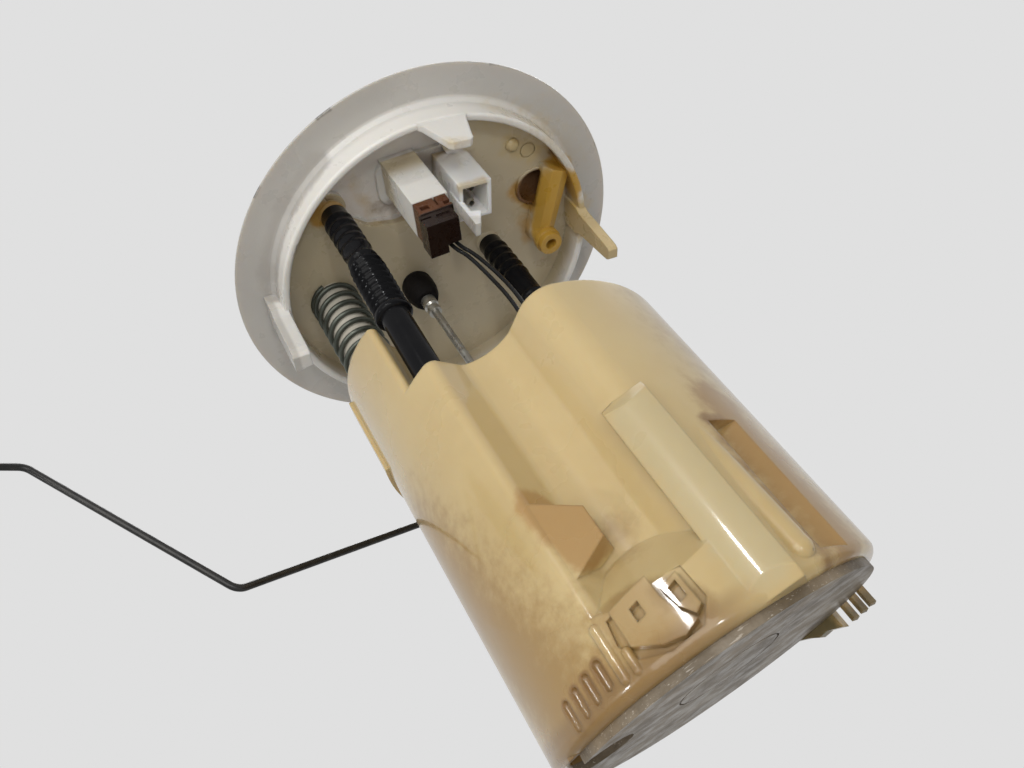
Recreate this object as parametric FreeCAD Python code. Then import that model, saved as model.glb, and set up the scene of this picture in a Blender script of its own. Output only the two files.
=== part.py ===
"""Fuel tank sending unit: flange, guided swirl pot, hoses and level sensor.

Millimetres. The origin is the centre of the flange's seat, the plane where the
lid rests on the tank, and +Z points out of the tank. The pot hangs below the
flange on a spring and slides up towards it. The level sensor sits on the pot's
tower and carries the float on a bent wire.
"""
import math
import os

import FreeCAD, Part
from FreeCAD import Vector

os.makedirs("parts", exist_ok=True)

# Flange lid and its skirt
FLANGE_R = 65.0
FLANGE_T = 3.0
FLANGE_EDGE = 0.6
LOCK_RIB_R = 58.5
LOCK_RIB_W = 2.0
LOCK_RIB_H = 1.6
SKIRT_R = 53.0
SKIRT_T = 2.4
SKIRT_H = 9.0
PLATEAU_R = 50.0
PLATEAU_H = 2.0
LUG_T = 3.2

# Socket well in the flange's underside
WELL_DEPTH = 4.6
WELL_COVER = 2.4

# Plug sockets: front left corner, turn about Z, width, depth, lower end
SOCKET_WALL = 1.3
SOCKET_A = dict(corner=(2.6, -38.5), turn=20.0, width=11.2, depth=11.8, low=-22.5)
SOCKET_B = dict(corner=(17.2, -29.9), turn=25.0, width=10.6, depth=12.6, low=-18.0)
SOCKET_ROOF = -6.0
LATCH_T = 1.6
LATCH_W = 4.4
PLUG_GAP = 0.15
PLUG_LOW = -34.6
PLUG_NOTCH = 3.5
PIN_R = 1.3
PIN_BORE_R = 0.7
PIN_PITCH = 5.4

# Hoses and their stubs: places on the flange
FEED_XY = (-18.3, -35.6)
RETURN_XY = (17.3, 10.6)
STUB_R = 2.9
STUB_BORE_R = 1.9
BARB_R = STUB_R + 0.4
STUB_LEN = 24.0
HOSE_GAP = 0.08
HOSE_BORE_R = STUB_R
CORRUGATION_R = 5.2
CORRUGATION_PITCH = 2.6

# Guides
POST_R = 6.2
POST_WALL = 1.6
GUIDE_GAP = 0.06
ROD_XY = (-10.6, 7.0)
ROD_R = 1.25
STOP_T = 2.0

# Spring
SPRING_WIRE_R = 0.8
SPRING_MEAN_R = POST_R + SPRING_WIRE_R + 0.15
SPRING_PITCH = 4.8

# Pot
POT_XY = (-3.4, 0.0)
POT_R = 43.5
POT_WALL = 2.0
POT_RIM_Z = -79.5
POT_FLOOR_Z = -170.8
POT_SLANT = 16.0
FOOT_RING_W = 5.0
FOOT_RING_H = 4.0
FOOT_ROUND_R = 2.6
TOWER_TOP_Z = -51.5
TOWER_TOP_X = -29.4
TOWER_TOP_RISE = 18.0
TOWER_FLOOR_Z = -62.0
TOWER_FLOOR_T = 3.0
TOWER_FOOT_Z = -92.0
RAMP_TILT = 52.8
RAMP_LOW_Z = -167.5
GROOVE_TOP_Z = -136.0
GROOVE_LOW_Z = -175.5
PLATE_T = 2.2
PLATE_INSET = 3.2
GUIDE_WEB_Z = -104.0
GUIDE_WEB_T = 3.0
POST_WAY = (POT_R - 10.9, 194.2)
FEED_FOOT_WAY = (POT_R - 6.6, 242.74)
INLET_WAY = (POT_R - 9.6, 207.25)

# Level sensor: a flat stack on the tower, square to SENSOR_TURN
SENSOR_TURN = 142.0
SENSOR_FACE = POT_R + 1.1
SENSOR_T = 3.6
SENSOR_HALF_W = 10.5
SENSOR_TOP_Z = -54.0
SENSOR_LOW_Z = -92.0
PIVOT_Z = -67.4
PIVOT_R = 1.9
HOLDER_T = 1.8
ARM_R = 1.0
ARM_PLANE = SENSOR_FACE + 7.4

# Float arm: places along the swing plane, distance out and height
ARM_START = (-1.5, -66.9)
ARM_BEND_A = (75.2, -92.7)
ARM_BEND_B = (119.1, -46.9)
ARM_END = (158.0, -46.9)
ARM_BEND_R = 4.0
FLOAT_SIZE = (44.0, 18.0, 28.0)
FLOAT_GAP = 3.0
FLOAT_CORNER = 3.5
CLIP_T = 1.2

BIG = 400.0
MOULDINGS = ("flange_cover", "reservoir_pot")


def save(shape, name):
    """Write one node and say how large it is. The two big mouldings keep all their faces."""
    if name not in MOULDINGS:
        shape = shape.removeSplitter()
    box = shape.BoundBox
    print(f"{name:22s} solids {len(shape.Solids)}  volume {shape.Volume:9.1f}  valid {shape.isValid()}"
          f"  z {box.ZMin:7.1f} {box.ZMax:7.1f}")
    shape.exportStep(f"parts/{name}.step")


def fused(body, pieces):
    """Join pieces to a body one after the other."""
    for piece in pieces:
        body = body.fuse(piece)
    return body


def cylinder(radius, low, high, xy=(0.0, 0.0)):
    return Part.makeCylinder(radius, high - low, Vector(xy[0], xy[1], low))


def tube(outer, inner, low, high, xy=(0.0, 0.0)):
    return cylinder(outer, low, high, xy).cut(cylinder(inner, low - 1.0, high + 1.0, xy))


def box_at(x, y, z):
    """Box from three (low, high) pairs."""
    return Part.makeBox(x[1] - x[0], y[1] - y[0], z[1] - z[0], Vector(x[0], y[0], z[0]))


def prism(edges, low, high):
    """Closed flat outline, drawn at height 0, extruded between two heights."""
    face = Part.Face(Part.Wire(Part.__sortEdges__(edges)))
    face.translate(Vector(0, 0, low))
    return face.extrude(Vector(0, 0, high - low))


def polygon(points):
    closed = [Vector(x, y, 0) for x, y in points] + [Vector(points[0][0], points[0][1], 0)]
    return [Part.LineSegment(a, b).toShape() for a, b in zip(closed, closed[1:])]


def rounded(points, radius):
    """Closed outline through the points, each corner an arc of the radius."""
    edges = []
    count = len(points)
    tangents = []
    for index in range(count):
        corner = Vector(points[index][0], points[index][1], 0)
        before = Vector(points[index - 1][0], points[index - 1][1], 0)
        after = Vector(points[(index + 1) % count][0], points[(index + 1) % count][1], 0)
        into = (before - corner).normalize()
        out = (after - corner).normalize()
        half = into.getAngle(out) / 2.0
        reach = radius / math.tan(half)
        middle = (into + out).normalize()
        centre = corner + middle * (radius / math.sin(half))
        tangents.append((corner + into * reach, centre - middle * radius, corner + out * reach))
    for index in range(count):
        start, middle, end = tangents[index]
        edges.append(Part.Arc(start, middle, end).toShape())
        edges.append(Part.LineSegment(end, tangents[(index + 1) % count][0]).toShape())
    return edges


def softened(block, places):
    """Round the upright edge of a block nearest to each place, with its own radius."""
    for (x, y), radius in places:
        upright = [e for e in block.Edges if abs(e.Vertexes[0].Z - e.Vertexes[-1].Z) > 1.0]
        nearest = min(upright, key=lambda e: math.hypot(e.Vertexes[0].X - x, e.Vertexes[0].Y - y))
        block = block.makeFillet(radius, [nearest])
    return block


def turned(shape, angle, xy=(0.0, 0.0)):
    """Shape drawn at the origin, turned about Z and moved to a place."""
    copy = shape.copy()
    copy.rotate(Vector(0, 0, 0), Vector(0, 0, 1), angle)
    copy.translate(Vector(xy[0], xy[1], 0))
    return copy


def revolved(profile, xy=(0.0, 0.0)):
    """Solid of (radius, height) points turned about a vertical axis."""
    points = [Vector(r, 0, z) for r, z in profile]
    wire = Part.makePolygon(points + [points[0]])
    solid = Part.Face(wire).revolve(Vector(0, 0, 0), Vector(0, 0, 1), 360)
    solid.translate(Vector(xy[0], xy[1], 0))
    return solid


def swept(points, radius, bend, sides=0):
    """Bar along straight runs joined by tangent arcs: round, or with flat sides."""
    path, first = bar_path(points, bend)
    start = Vector(*points[0])
    if sides:
        section = ngon(radius, start, Vector(1, 0, 0), first, sides)
    else:
        section = Part.Wire(Part.makeCircle(radius, start, first))
    return Part.Wire(path).makePipeShell([section], True, True)


def ngon(radius, centre, side, along, count):
    """Closed outline with many equal sides, square to a direction."""
    other = along.cross(side)
    points = []
    for step in range(count):
        turn = 2 * math.pi * (step + 0.5) / count
        points.append(centre + side * (radius * math.cos(turn)) + other * (radius * math.sin(turn)))
    return Part.makePolygon(points + [points[0]])


def bar_path(points, bend):
    """Edges of the runs and arcs, and the first run's direction."""
    nodes = [Vector(*p) for p in points]
    edges = []
    last = nodes[0]
    for before, corner, after in zip(nodes, nodes[1:], nodes[2:]):
        if (corner - before).cross(after - corner).Length < 1e-6:
            continue
        into = (before - corner).normalize()
        out = (after - corner).normalize()
        half = into.getAngle(out) / 2.0
        shorter = min((before - corner).Length, (after - corner).Length)
        radius = bend if bend else 0.45 * shorter * math.tan(half)
        reach = radius / math.tan(half)
        middle = (into + out).normalize()
        centre = corner + middle * (radius / math.sin(half))
        edges.append(Part.LineSegment(last, corner + into * reach).toShape())
        edges.append(Part.Arc(corner + into * reach, centre - middle * radius, corner + out * reach).toShape())
        last = corner + out * reach
    edges.append(Part.LineSegment(last, nodes[-1]).toShape())
    return edges, (nodes[1] - nodes[0]).normalize()


def below_slant(drop):
    """Everything lower than the pot's slanted foot, moved down by drop."""
    slab = Part.makeBox(BIG, BIG, BIG, Vector(-BIG / 2, -BIG / 2, -BIG))
    slab.rotate(Vector(0, 0, 0), Vector(1, 0, 0), POT_SLANT)
    slab.translate(Vector(0, 0, POT_FLOOR_Z - drop / math.cos(math.radians(POT_SLANT))))
    return slab


def foot_z(y):
    """Height of the pot's slanted foot at a place."""
    return POT_FLOOR_Z + y * math.tan(math.radians(POT_SLANT))


def ring_point(radius, angle, centre=(0.0, 0.0)):
    turn = math.radians(angle)
    return centre[0] + radius * math.cos(turn), centre[1] + radius * math.sin(turn)


POST_XY = ring_point(POST_WAY[0], POST_WAY[1], POT_XY)
FEED_FOOT_XY = ring_point(FEED_FOOT_WAY[0], FEED_FOOT_WAY[1], POT_XY)
INLET_XY = ring_point(INLET_WAY[0], INLET_WAY[1], POT_XY)


def sensor_point(out, along, z):
    """Point at a distance out of the pot's axis and along the swing plane."""
    turn = math.radians(SENSOR_TURN)
    normal = Vector(math.cos(turn), math.sin(turn), 0)
    side = Vector(-math.sin(turn), math.cos(turn), 0)
    return Vector(POT_XY[0], POT_XY[1], z) + normal * out + side * along


def sensor_box(out, along, z):
    """Box in the sensor's own directions, from three (low, high) pairs."""
    block = Part.makeBox(out[1] - out[0], along[1] - along[0], z[1] - z[0], Vector(out[0], along[0], z[0]))
    return turned(block, SENSOR_TURN, POT_XY)


def sensor_pin(radius, out, along, z):
    """Round bar along the sensor's normal."""
    start = sensor_point(out[0], along, z)
    normal = (sensor_point(out[1], along, z) - start).normalize()
    return Part.makeCylinder(radius, out[1] - out[0], start, normal)


# The flange
def socket_frame(socket, x, y, z):
    """Box in a socket's own directions, x across and y back from its front left corner."""
    return turned(box_at(x, y, z), socket["turn"], socket["corner"])


def socket_body(socket):
    """Open-mouthed box hanging from the flange."""
    width, depth, low = socket["width"], socket["depth"], socket["low"]
    shell = socket_frame(socket, (0, width), (0, depth), (low, WELL_DEPTH + 0.5))
    inside = (SOCKET_WALL, width - SOCKET_WALL), (SOCKET_WALL, depth - SOCKET_WALL)
    return shell.cut(socket_frame(socket, inside[0], inside[1], (low - 1.0, SOCKET_ROOF)))


def latch(socket, low):
    """Arm that carries a socket's left wall on downwards, with a hook towards the mouth."""
    near, far = socket["depth"] - 7.2, socket["depth"] - 7.2 + LATCH_W
    arm = socket_frame(socket, (-0.4, LATCH_T - 0.4), (near, far), (low, -11.0))
    face = LATCH_T - 0.4
    hook = [Vector(face, near, low), Vector(face, near, low + 7.0), Vector(face + 2.9, near, low + 6.0)]
    piece = Part.Face(Part.makePolygon(hook + [hook[0]])).extrude(Vector(0, LATCH_W, 0))
    return arm.fuse(turned(piece, socket["turn"], socket["corner"]))


def lug(angle, root_deg, tip_deg, low, inner, outer):
    """Finger hanging from the skirt, a slice of a ring that narrows to its tip."""
    def slice_points(half, r_in, r_out):
        return [ring_point(r_in, angle - half), ring_point(r_out, angle - half),
                ring_point(r_out, angle + half), ring_point(r_in, angle + half)]
    sections = []
    for half, z in ((root_deg + 1.4, 0.5), (root_deg + 1.4, 1.0 - SKIRT_H), (root_deg, -SKIRT_H - 1.6),
                    (tip_deg, low + 2.8), (tip_deg * 0.9, low + 1.1), (tip_deg * 0.62, low)):
        points = [Vector(x, y, z) for x, y in slice_points(half, inner, outer)]
        sections.append(Part.makePolygon(points + [points[0]]))
    return Part.makeLoft(sections, True, True)


def skirt():
    """Ring under the lid, rounded at its lower rims and blended into the lid outside."""
    ring = tube(SKIRT_R, SKIRT_R - SKIRT_T, -SKIRT_H, 0.5)
    ring = ring.makeFillet(0.9, [e for e in ring.Edges if e.BoundBox.ZMax < 0.01 - SKIRT_H])
    root = Part.makeCone(SKIRT_R, SKIRT_R + 1.2, 1.2, Vector(0, 0, -1.2))
    return ring.fuse(root.cut(cylinder(SKIRT_R - 1.0, -2.0, 1.0)))


def stub(xy):
    """Barbed pipe end on the flange's underside."""
    low = -STUB_LEN
    profile = [(STUB_BORE_R, 1.0), (STUB_R + 1.2, 1.0), (STUB_R + 1.2, -0.6), (STUB_R, -1.4)]
    for step in range(3):
        top = -8.0 - 5.0 * step
        profile += [(STUB_R, top), (BARB_R, top), (STUB_R, top - 3.0)]
    profile += [(STUB_R - 0.4, low), (STUB_BORE_R, low)]
    return revolved(profile, xy)


def well_block(low, high):
    """Sunken pad round the sockets, inside the skirt."""
    outline = [(-19.5, -60.0), (-16.5, -32.0), (-11.5, -23.0), (-4.0, -17.8), (5.0, -15.5), (12.0, -17.0),
               (21.0, -24.0), (21.0, -60.0)]
    block = prism(rounded(outline, 4.0), low, high)
    return block.common(cylinder(SKIRT_R - SKIRT_T - 0.8, low - 1.0, high + 1.0))


def drain_channel():
    """Arched duct on the underside that narrows to a short open spigot."""
    start, end = Vector(49.4, -1.3, 0), Vector(34.0, 18.3, 0)
    along = (end - start).normalize()
    across = Vector(-along.y, along.x, 0)
    sections = []
    for place, half, deep in ((start, 5.0, 7.2), (end, 4.2, 8.0)):
        arch = ((-1.0, 1.0), (-1.0, -0.42 * deep), (-0.62, -0.84 * deep), (0.0, -deep), (0.62, -0.84 * deep),
                (1.0, -0.42 * deep), (1.0, 1.0))
        points = [place + across * (s * half) + Vector(0, 0, z) for s, z in arch]
        sections.append(Part.makePolygon(points + [points[0]]))
    duct = Part.makeLoft(sections, True, True)
    spigot = cylinder(4.0, -11.4, 1.0, (end.x, end.y))
    collar = cylinder(4.5, -9.4, -7.4, (end.x, end.y))
    return fused(duct, [spigot, collar]).cut(cylinder(1.9, -12.4, -4.0, (end.x, end.y)))


def top_nipple(xy, height, length, heading):
    """Elbow on the outside: a riser and a flat-lying quick-fit pipe end."""
    turn = math.radians(heading)
    way = Vector(math.cos(turn), math.sin(turn), 0)
    start = Vector(xy[0], xy[1], height)
    riser = cylinder(5.2, FLANGE_T - 1.0, height + 1.0, xy)
    knee = Part.makeSphere(5.2, start + Vector(0, 0, 1.0))
    pipe = Part.makeCylinder(3.95, length, start, way)
    bead = Part.makeCylinder(4.7, 2.2, start + way * (length - 16.0), way)
    thick = Part.makeCylinder(4.7, 9.0, start, way)
    body = riser.fuse([knee, pipe, bead, thick])
    bore = Part.makeCylinder(2.6, length + 1.0, start, way)
    down = cylinder(STUB_BORE_R, -1.0, height, xy)
    return body, bore.fuse(down)


CONNECTOR_XY = (11.5, -25.5)
CONNECTOR_TURN = 22.0
CONNECTOR_SIZE = (30.0, 16.0)
CONNECTOR_TOP = 22.0
BLADE_LOW = WELL_DEPTH + 0.8
NIPPLE_HEIGHT = 12.0
NIPPLE_LEN = 34.0
NIPPLE_HEADING = 155.0


def connector_outline(size, radius):
    half_x, half_y = size[0] / 2.0, size[1] / 2.0
    return rounded([(-half_x, -half_y), (half_x, -half_y), (half_x, half_y), (-half_x, half_y)], radius)


def outer_connector():
    """Keyed oval shroud for the vehicle's plug."""
    wall = 1.8
    width, depth = CONNECTOR_SIZE
    shroud = prism(connector_outline(CONNECTOR_SIZE, 5.0), FLANGE_T, CONNECTOR_TOP)
    inside = prism(connector_outline((width - 2 * wall, depth - 2 * wall), 3.2), FLANGE_T + 6.0, CONNECTOR_TOP + 1.0)
    shroud = shroud.cut(inside)
    key = box_at((-2.0, 2.0), (-depth / 2 - 1.2, -depth / 2 + 0.4), (FLANGE_T + 2.0, CONNECTOR_TOP - 3.0))
    catch = box_at((-4.0, 4.0), (depth / 2 - 0.4, depth / 2 + 1.8), (CONNECTOR_TOP - 7.0, CONNECTOR_TOP - 4.0))
    return turned(shroud.fuse([key, catch]), CONNECTOR_TURN, CONNECTOR_XY)


def flange_cover():
    disc = cylinder(FLANGE_R, 0, FLANGE_EDGE)
    slope = FLANGE_T - FLANGE_EDGE
    disc = disc.fuse(Part.makeCone(FLANGE_R, FLANGE_R - 2.2, slope, Vector(0, 0, FLANGE_EDGE)))
    rib = tube(LOCK_RIB_R, LOCK_RIB_R - LOCK_RIB_W, FLANGE_T - 0.5, FLANGE_T + LOCK_RIB_H)
    plateau = Part.makeCone(PLATEAU_R, PLATEAU_R - 2.0, PLATEAU_H, Vector(0, 0, FLANGE_T))
    lugs = [
        lug(297.5, 7.6, 4.6, -23.5, SKIRT_R - SKIRT_T, SKIRT_R),
        lug(200.0, 4.6, 4.2, -28.2, SKIRT_R - 1.4, SKIRT_R + 4.0),
        lug(23.0, 4.6, 3.0, -30.0, SKIRT_R - LUG_T, SKIRT_R),
        lug(110.0, 7.6, 4.6, -23.5, SKIRT_R - SKIRT_T, SKIRT_R),
    ]
    ribs = [turned(box_at((PLATEAU_R - 4.0, LOCK_RIB_R - 1.0), (-0.8, 0.8), (FLANGE_T - 0.5, FLANGE_T + 1.4)), a)
            for a in range(0, 360, 30)]
    roof = turned(prism(connector_outline((44.0, 34.0), 6.0), 0.5, WELL_DEPTH + WELL_COVER), 0.0, (1.5, -31.5))
    roof = roof.common(cylinder(PLATEAU_R - 0.4, 0.0, 20.0))
    body = fused(disc, [rib, plateau, skirt(), roof] + lugs + ribs)
    body = body.cut(well_block(-1.0, WELL_DEPTH)).fuse(drain_channel())
    pocket_xy = (40.4, 2.4)
    body = body.fuse(cylinder(8.2, 0.5, FLANGE_T + 4.0, pocket_xy))
    body = body.fuse(tube(6.9, 5.9, -0.9, 0.5, pocket_xy)).cut(cylinder(5.9, -2.0, 3.0, pocket_xy))
    feed, feed_bore = top_nipple(FEED_XY, NIPPLE_HEIGHT, NIPPLE_LEN, NIPPLE_HEADING)
    back, back_bore = top_nipple(RETURN_XY, NIPPLE_HEIGHT, NIPPLE_LEN, NIPPLE_HEADING)
    pin = revolved([(0.0, 0.5), (2.3, 0.5), (2.2, -0.8), (1.4, -1.7), (0.0, -2.0)], (40.2, -16.7))
    post_seat = tube(POST_R - POST_WALL - 0.05, POST_R - POST_WALL - 1.6, -6.0, 0.5, POST_XY)
    body = fused(body, [stub(FEED_XY), stub(RETURN_XY), feed, back, pin, post_seat,
                        socket_body(SOCKET_A), socket_body(SOCKET_B), latch(SOCKET_B, -30.5), outer_connector()])
    body = body.cut(feed_bore).cut(back_bore)
    body = body.cut(tube(2.7, 2.4, -1.0, 0.35, (43.8, -11.0)))
    for place in terminal_places():
        body = body.cut(turned(box_at((-0.4, 0.4), (-1.4, 1.4), (BLADE_LOW, FLANGE_T + 7.0)), CONNECTOR_TURN, place))
    for place in pin_places():
        body = body.cut(cylinder(PIN_R, SOCKET_ROOF - 1.0, SOCKET_ROOF + 4.0, place))
    return body


def terminal_places():
    turn = math.radians(CONNECTOR_TURN)
    return [(CONNECTOR_XY[0] + s * math.cos(turn), CONNECTOR_XY[1] + s * math.sin(turn))
            for s in (-8.4, -2.8, 2.8, 8.4)]


def outer_terminals():
    """Flat blades of the outside connector."""
    blades = []
    for place in terminal_places():
        blade = box_at((-0.4, 0.4), (-1.4, 1.4), (BLADE_LOW, CONNECTOR_TOP - 4.0))
        blades.append(turned(blade, CONNECTOR_TURN, place))
    return Part.makeCompound(blades)


def pin_places():
    """Two pins in a row from front to back in the empty socket."""
    turn = math.radians(SOCKET_B["turn"])
    x, y = SOCKET_B["corner"]
    places = []
    for side in (-0.5, 0.5):
        across = SOCKET_B["width"] / 2
        back = SOCKET_B["depth"] / 2 + side * PIN_PITCH
        places.append((x + across * math.cos(turn) - back * math.sin(turn),
                       y + across * math.sin(turn) + back * math.cos(turn)))
    return places


def socket_pins():
    pins = []
    for place in pin_places():
        profile = [(PIN_BORE_R, -14.0), (PIN_R - 0.4, -15.2), (PIN_R, -14.2), (PIN_R, SOCKET_ROOF + 3.5),
                   (PIN_BORE_R, SOCKET_ROOF + 3.5)]
        pins.append(revolved(profile, place))
    return Part.makeCompound(pins)


def plug_housing():
    """Two-way plug pushed up into socket A, with a stepped grip below the mouth."""
    low, top, mouth = PLUG_LOW, SOCKET_ROOF - 1.0, SOCKET_A["low"]
    width, depth = SOCKET_A["width"], SOCKET_A["depth"]
    edge = SOCKET_WALL + PLUG_GAP
    body = socket_frame(SOCKET_A, (edge, width - edge), (edge, depth - edge), (low + 5.0, top))
    grip = socket_frame(SOCKET_A, (0.1, width - 0.9), (0.1, depth - 0.3), (low + 5.8, mouth - 0.2))
    foot = socket_frame(SOCKET_A, (-0.5, width - 1.8), (0.4, depth - 0.2), (low, low + 6.0))
    body = fused(body, [grip, foot])
    cuts = [
        ((1.2, 3.8), (-1.0, 1.3), (mouth - 4.6, mouth - 2.6)),
        ((6.1, 6.7), (-1.0, 1.1), (mouth - 4.2, mouth + 1.0)),
        ((8.2, width), (-1.0, 1.6), (mouth - 5.0, mouth - 3.4)),
        ((-1.0, 2.6), (-1.0, 0.9), (low + 3.6, low + 4.4)),
        ((4.0, 8.0), (-1.0, 0.9), (low + 1.4, low + 4.2)),
        ((width - 6.0, width), (depth - 3.0, depth + 1.0), (low - 1.0, low + PLUG_NOTCH)),
    ]
    for across, back, z in cuts:
        body = body.cut(socket_frame(SOCKET_A, across, back, z))
    for place in lead_exits():
        body = body.cut(cylinder(LEAD_R + 0.05, low - 1.0, LEAD_TOP, place))
    return body


# Leads
LEAD_R = 0.6
LEAD_TOP = PLUG_LOW + PLUG_NOTCH + 1.6


def lead_exits():
    turn = math.radians(SOCKET_A["turn"])
    x, y = SOCKET_A["corner"]
    places = []
    for across in (6.3, 8.1):
        back = SOCKET_A["depth"] - 1.5
        places.append((x + across * math.cos(turn) - back * math.sin(turn),
                       y + across * math.sin(turn) + back * math.cos(turn)))
    return places


LEAD_ALONG = -4.0
LEAD_EXIT_Z = -98.5


def lead_route(exit_xy, shift):
    """Way of one lead: plug, down inside the pot, across it and out to the level sensor."""
    x, y = exit_xy
    inner = sensor_point(32.0, LEAD_ALONG - shift, LEAD_EXIT_Z)
    outer = sensor_point(SENSOR_FACE + 1.8, LEAD_ALONG - shift, LEAD_EXIT_Z)
    end = sensor_point(SENSOR_FACE + 1.8, LEAD_ALONG - shift, SENSOR_LOW_Z - 0.6)
    return [
        (x, y, LEAD_TOP),
        (x, y, -34.6),
        (x + 2.2, y + 1.4, -39.5),
        (9.6 + shift, -24.0, -51.0),
        (10.2 + shift, -25.4, -63.0),
        (9.4 + shift, -25.6, -77.0),
        (4.0 + shift, -22.0, LEAD_EXIT_Z),
        tuple(inner), tuple(outer), tuple(end),
    ]


def lead(index):
    exit_xy = lead_exits()[index]
    points = lead_route(exit_xy, (-1.1, 1.1)[index])
    return swept(points, LEAD_R, 0.0, 6)


# Hoses
def hose_way(top_xy, foot_xy, top, low):
    """Corners of a hose's middle line: straight cuff, slanted middle, straight tail."""
    return [(top_xy[0], top_xy[1], top), (top_xy[0], top_xy[1], CUFF_LOW),
            (foot_xy[0], foot_xy[1], HOSE_TAIL), (foot_xy[0], foot_xy[1], low)]


def way_xy(top_xy, foot_xy, z):
    """Place of the hose's middle line at a height."""
    part = min(max((CUFF_LOW - z) / (CUFF_LOW - HOSE_TAIL), 0.0), 1.0)
    return top_xy[0] + part * (foot_xy[0] - top_xy[0]), top_xy[1] + part * (foot_xy[1] - top_xy[1])


def hose(top_xy, foot_xy, waves, cuff_r):
    """Hose on a stub: bored cuff with three swellings, waved middle and smooth tail."""
    way = hose_way(top_xy, foot_xy, HOSE_TOP, HOSE_LOW)
    body = swept(way, cuff_r, 20.0)
    swellings = []
    for step in range(3):
        z = -8.0 - 5.0 * step
        swellings.append(revolved([(1.0, z + 1.2), (cuff_r - 0.3, z + 1.2), (cuff_r + 0.3, z - 0.4),
                                   (cuff_r - 0.3, z - 2.0), (1.0, z - 2.0)], top_xy))
    high, low = waves
    count = round((high - low) / CORRUGATION_PITCH)
    pitch = (high - low) / count
    for ring in range(count):
        z = high - (ring + 0.5) * pitch
        half = 0.46 * pitch
        swellings.append(revolved([(1.0, z + half), (cuff_r - 0.3, z + half), (CORRUGATION_R, z),
                                   (cuff_r - 0.3, z - half), (1.0, z - half)], way_xy(top_xy, foot_xy, z)))
    swellings.append(revolved([(1.0, low - 0.2), (CORRUGATION_R + 0.3, low - 0.2), (CORRUGATION_R + 0.3, low - 2.4),
                               (1.0, low - 2.8)], way_xy(top_xy, foot_xy, low)))
    body = fused(body, swellings)
    body = body.cut(swept(hose_way(top_xy, foot_xy, HOSE_TOP + 1.0, HOSE_LOW - 1.0), HOSE_BORE_R, 20.0))
    return body.cut(cylinder(BARB_R + HOSE_GAP, -STUB_LEN - 0.6, 0.0, top_xy))


HOSE_TOP = -1.8
CUFF_LOW = -29.0
HOSE_TAIL = -74.0
HOSE_LOW = -92.0
FEED_WAVES = (-26.0, -50.0)
RETURN_WAVES = (-33.0, -62.0)


def feed_hose():
    return hose(FEED_XY, FEED_FOOT_XY, FEED_WAVES, 4.15)


def return_hose():
    return hose(RETURN_XY, RETURN_XY, RETURN_WAVES, 3.95)


# Guides
def guide_post():
    low = TOWER_FLOOR_Z - TOWER_FLOOR_T - STOP_T - 3.0
    post = tube(POST_R, POST_R - POST_WALL, low, 0.0, POST_XY)
    seat_z = TOWER_FLOOR_Z - TOWER_FLOOR_T
    groove = tube(POST_R + 1.0, POST_R - 0.7, seat_z - STOP_T, seat_z, POST_XY)
    return post.cut(groove)


def post_stop():
    """Split ring in the post's groove: the pot hangs on it."""
    seat_z = TOWER_FLOOR_Z - TOWER_FLOOR_T
    ring = tube(POST_R + 1.6, POST_R - 0.65, seat_z - STOP_T + 0.05, seat_z - 0.02, POST_XY)
    gap = box_at((POST_XY[0] - 2.0, POST_XY[0] + 2.0), (POST_XY[1], POST_XY[1] + 12.0), (seat_z - 4.0, seat_z + 1.0))
    return ring.cut(gap)


def slide_spring():
    """Open-wound compression spring between flange and tower."""
    top = -SPRING_WIRE_R - 0.3
    low = TOWER_FLOOR_Z + SPRING_WIRE_R + 0.3
    helix = Part.makeHelix(SPRING_PITCH, top - low, SPRING_MEAN_R)
    helix.translate(Vector(POST_XY[0], POST_XY[1], low))
    start = Vector(POST_XY[0] + SPRING_MEAN_R, POST_XY[1], low)
    rise = SPRING_PITCH / (2 * math.pi)
    along = Vector(0, SPRING_MEAN_R, rise).normalize()
    return Part.Wire(helix).makePipeShell([ngon(SPRING_WIRE_R, start, Vector(1, 0, 0), along, 6)], True, True)


BUSH_LEN = 10.8
FERRULE = (-8.0, -17.4)
FERRULE_R = 2.5


def rod_bush():
    bore = FERRULE_R + 0.03
    profile = [(0.0, 0.0), (4.6, 0.0), (5.2, -1.2), (5.35, -4.0), (5.2, -6.6), (4.6, -9.0), (3.7, -BUSH_LEN),
               (bore, -BUSH_LEN), (bore, FERRULE[0] + 0.1), (ROD_R + 0.03, FERRULE[0] + 0.1),
               (ROD_R + 0.03, -2.0), (0.0, -2.0)]
    return revolved(profile, ROD_XY)


def rod_ferrule():
    top, low = FERRULE
    waist = FERRULE_R - 0.55
    profile = [(ROD_R + 0.02, top), (FERRULE_R, top), (FERRULE_R, low + 3.2), (waist, low + 2.6), (waist, low + 2.0),
               (FERRULE_R - 0.2, low + 1.6), (FERRULE_R - 0.3, low), (ROD_R + 0.02, low)]
    return revolved(profile, ROD_XY)


def guide_rod():
    seat = GUIDE_WEB_Z - GUIDE_WEB_T
    low = seat - STOP_T - 2.0
    rod = cylinder(ROD_R, low, -2.1, ROD_XY)
    rod = rod.cut(tube(ROD_R + 1.0, ROD_R - 0.3, seat - STOP_T / 2, seat, ROD_XY))
    return rod


def rod_stop():
    """Clip in the rod's groove, under the pot's guide eye."""
    seat = GUIDE_WEB_Z - GUIDE_WEB_T
    ring = tube(ROD_R + 1.9, ROD_R - 0.27, seat - STOP_T / 2 + 0.03, seat - 0.02, ROD_XY)
    gap = box_at((ROD_XY[0] - 0.7, ROD_XY[0] + 0.7), (ROD_XY[1], ROD_XY[1] + 5.0), (seat - 3.0, seat + 1.0))
    return ring.cut(gap)


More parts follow.
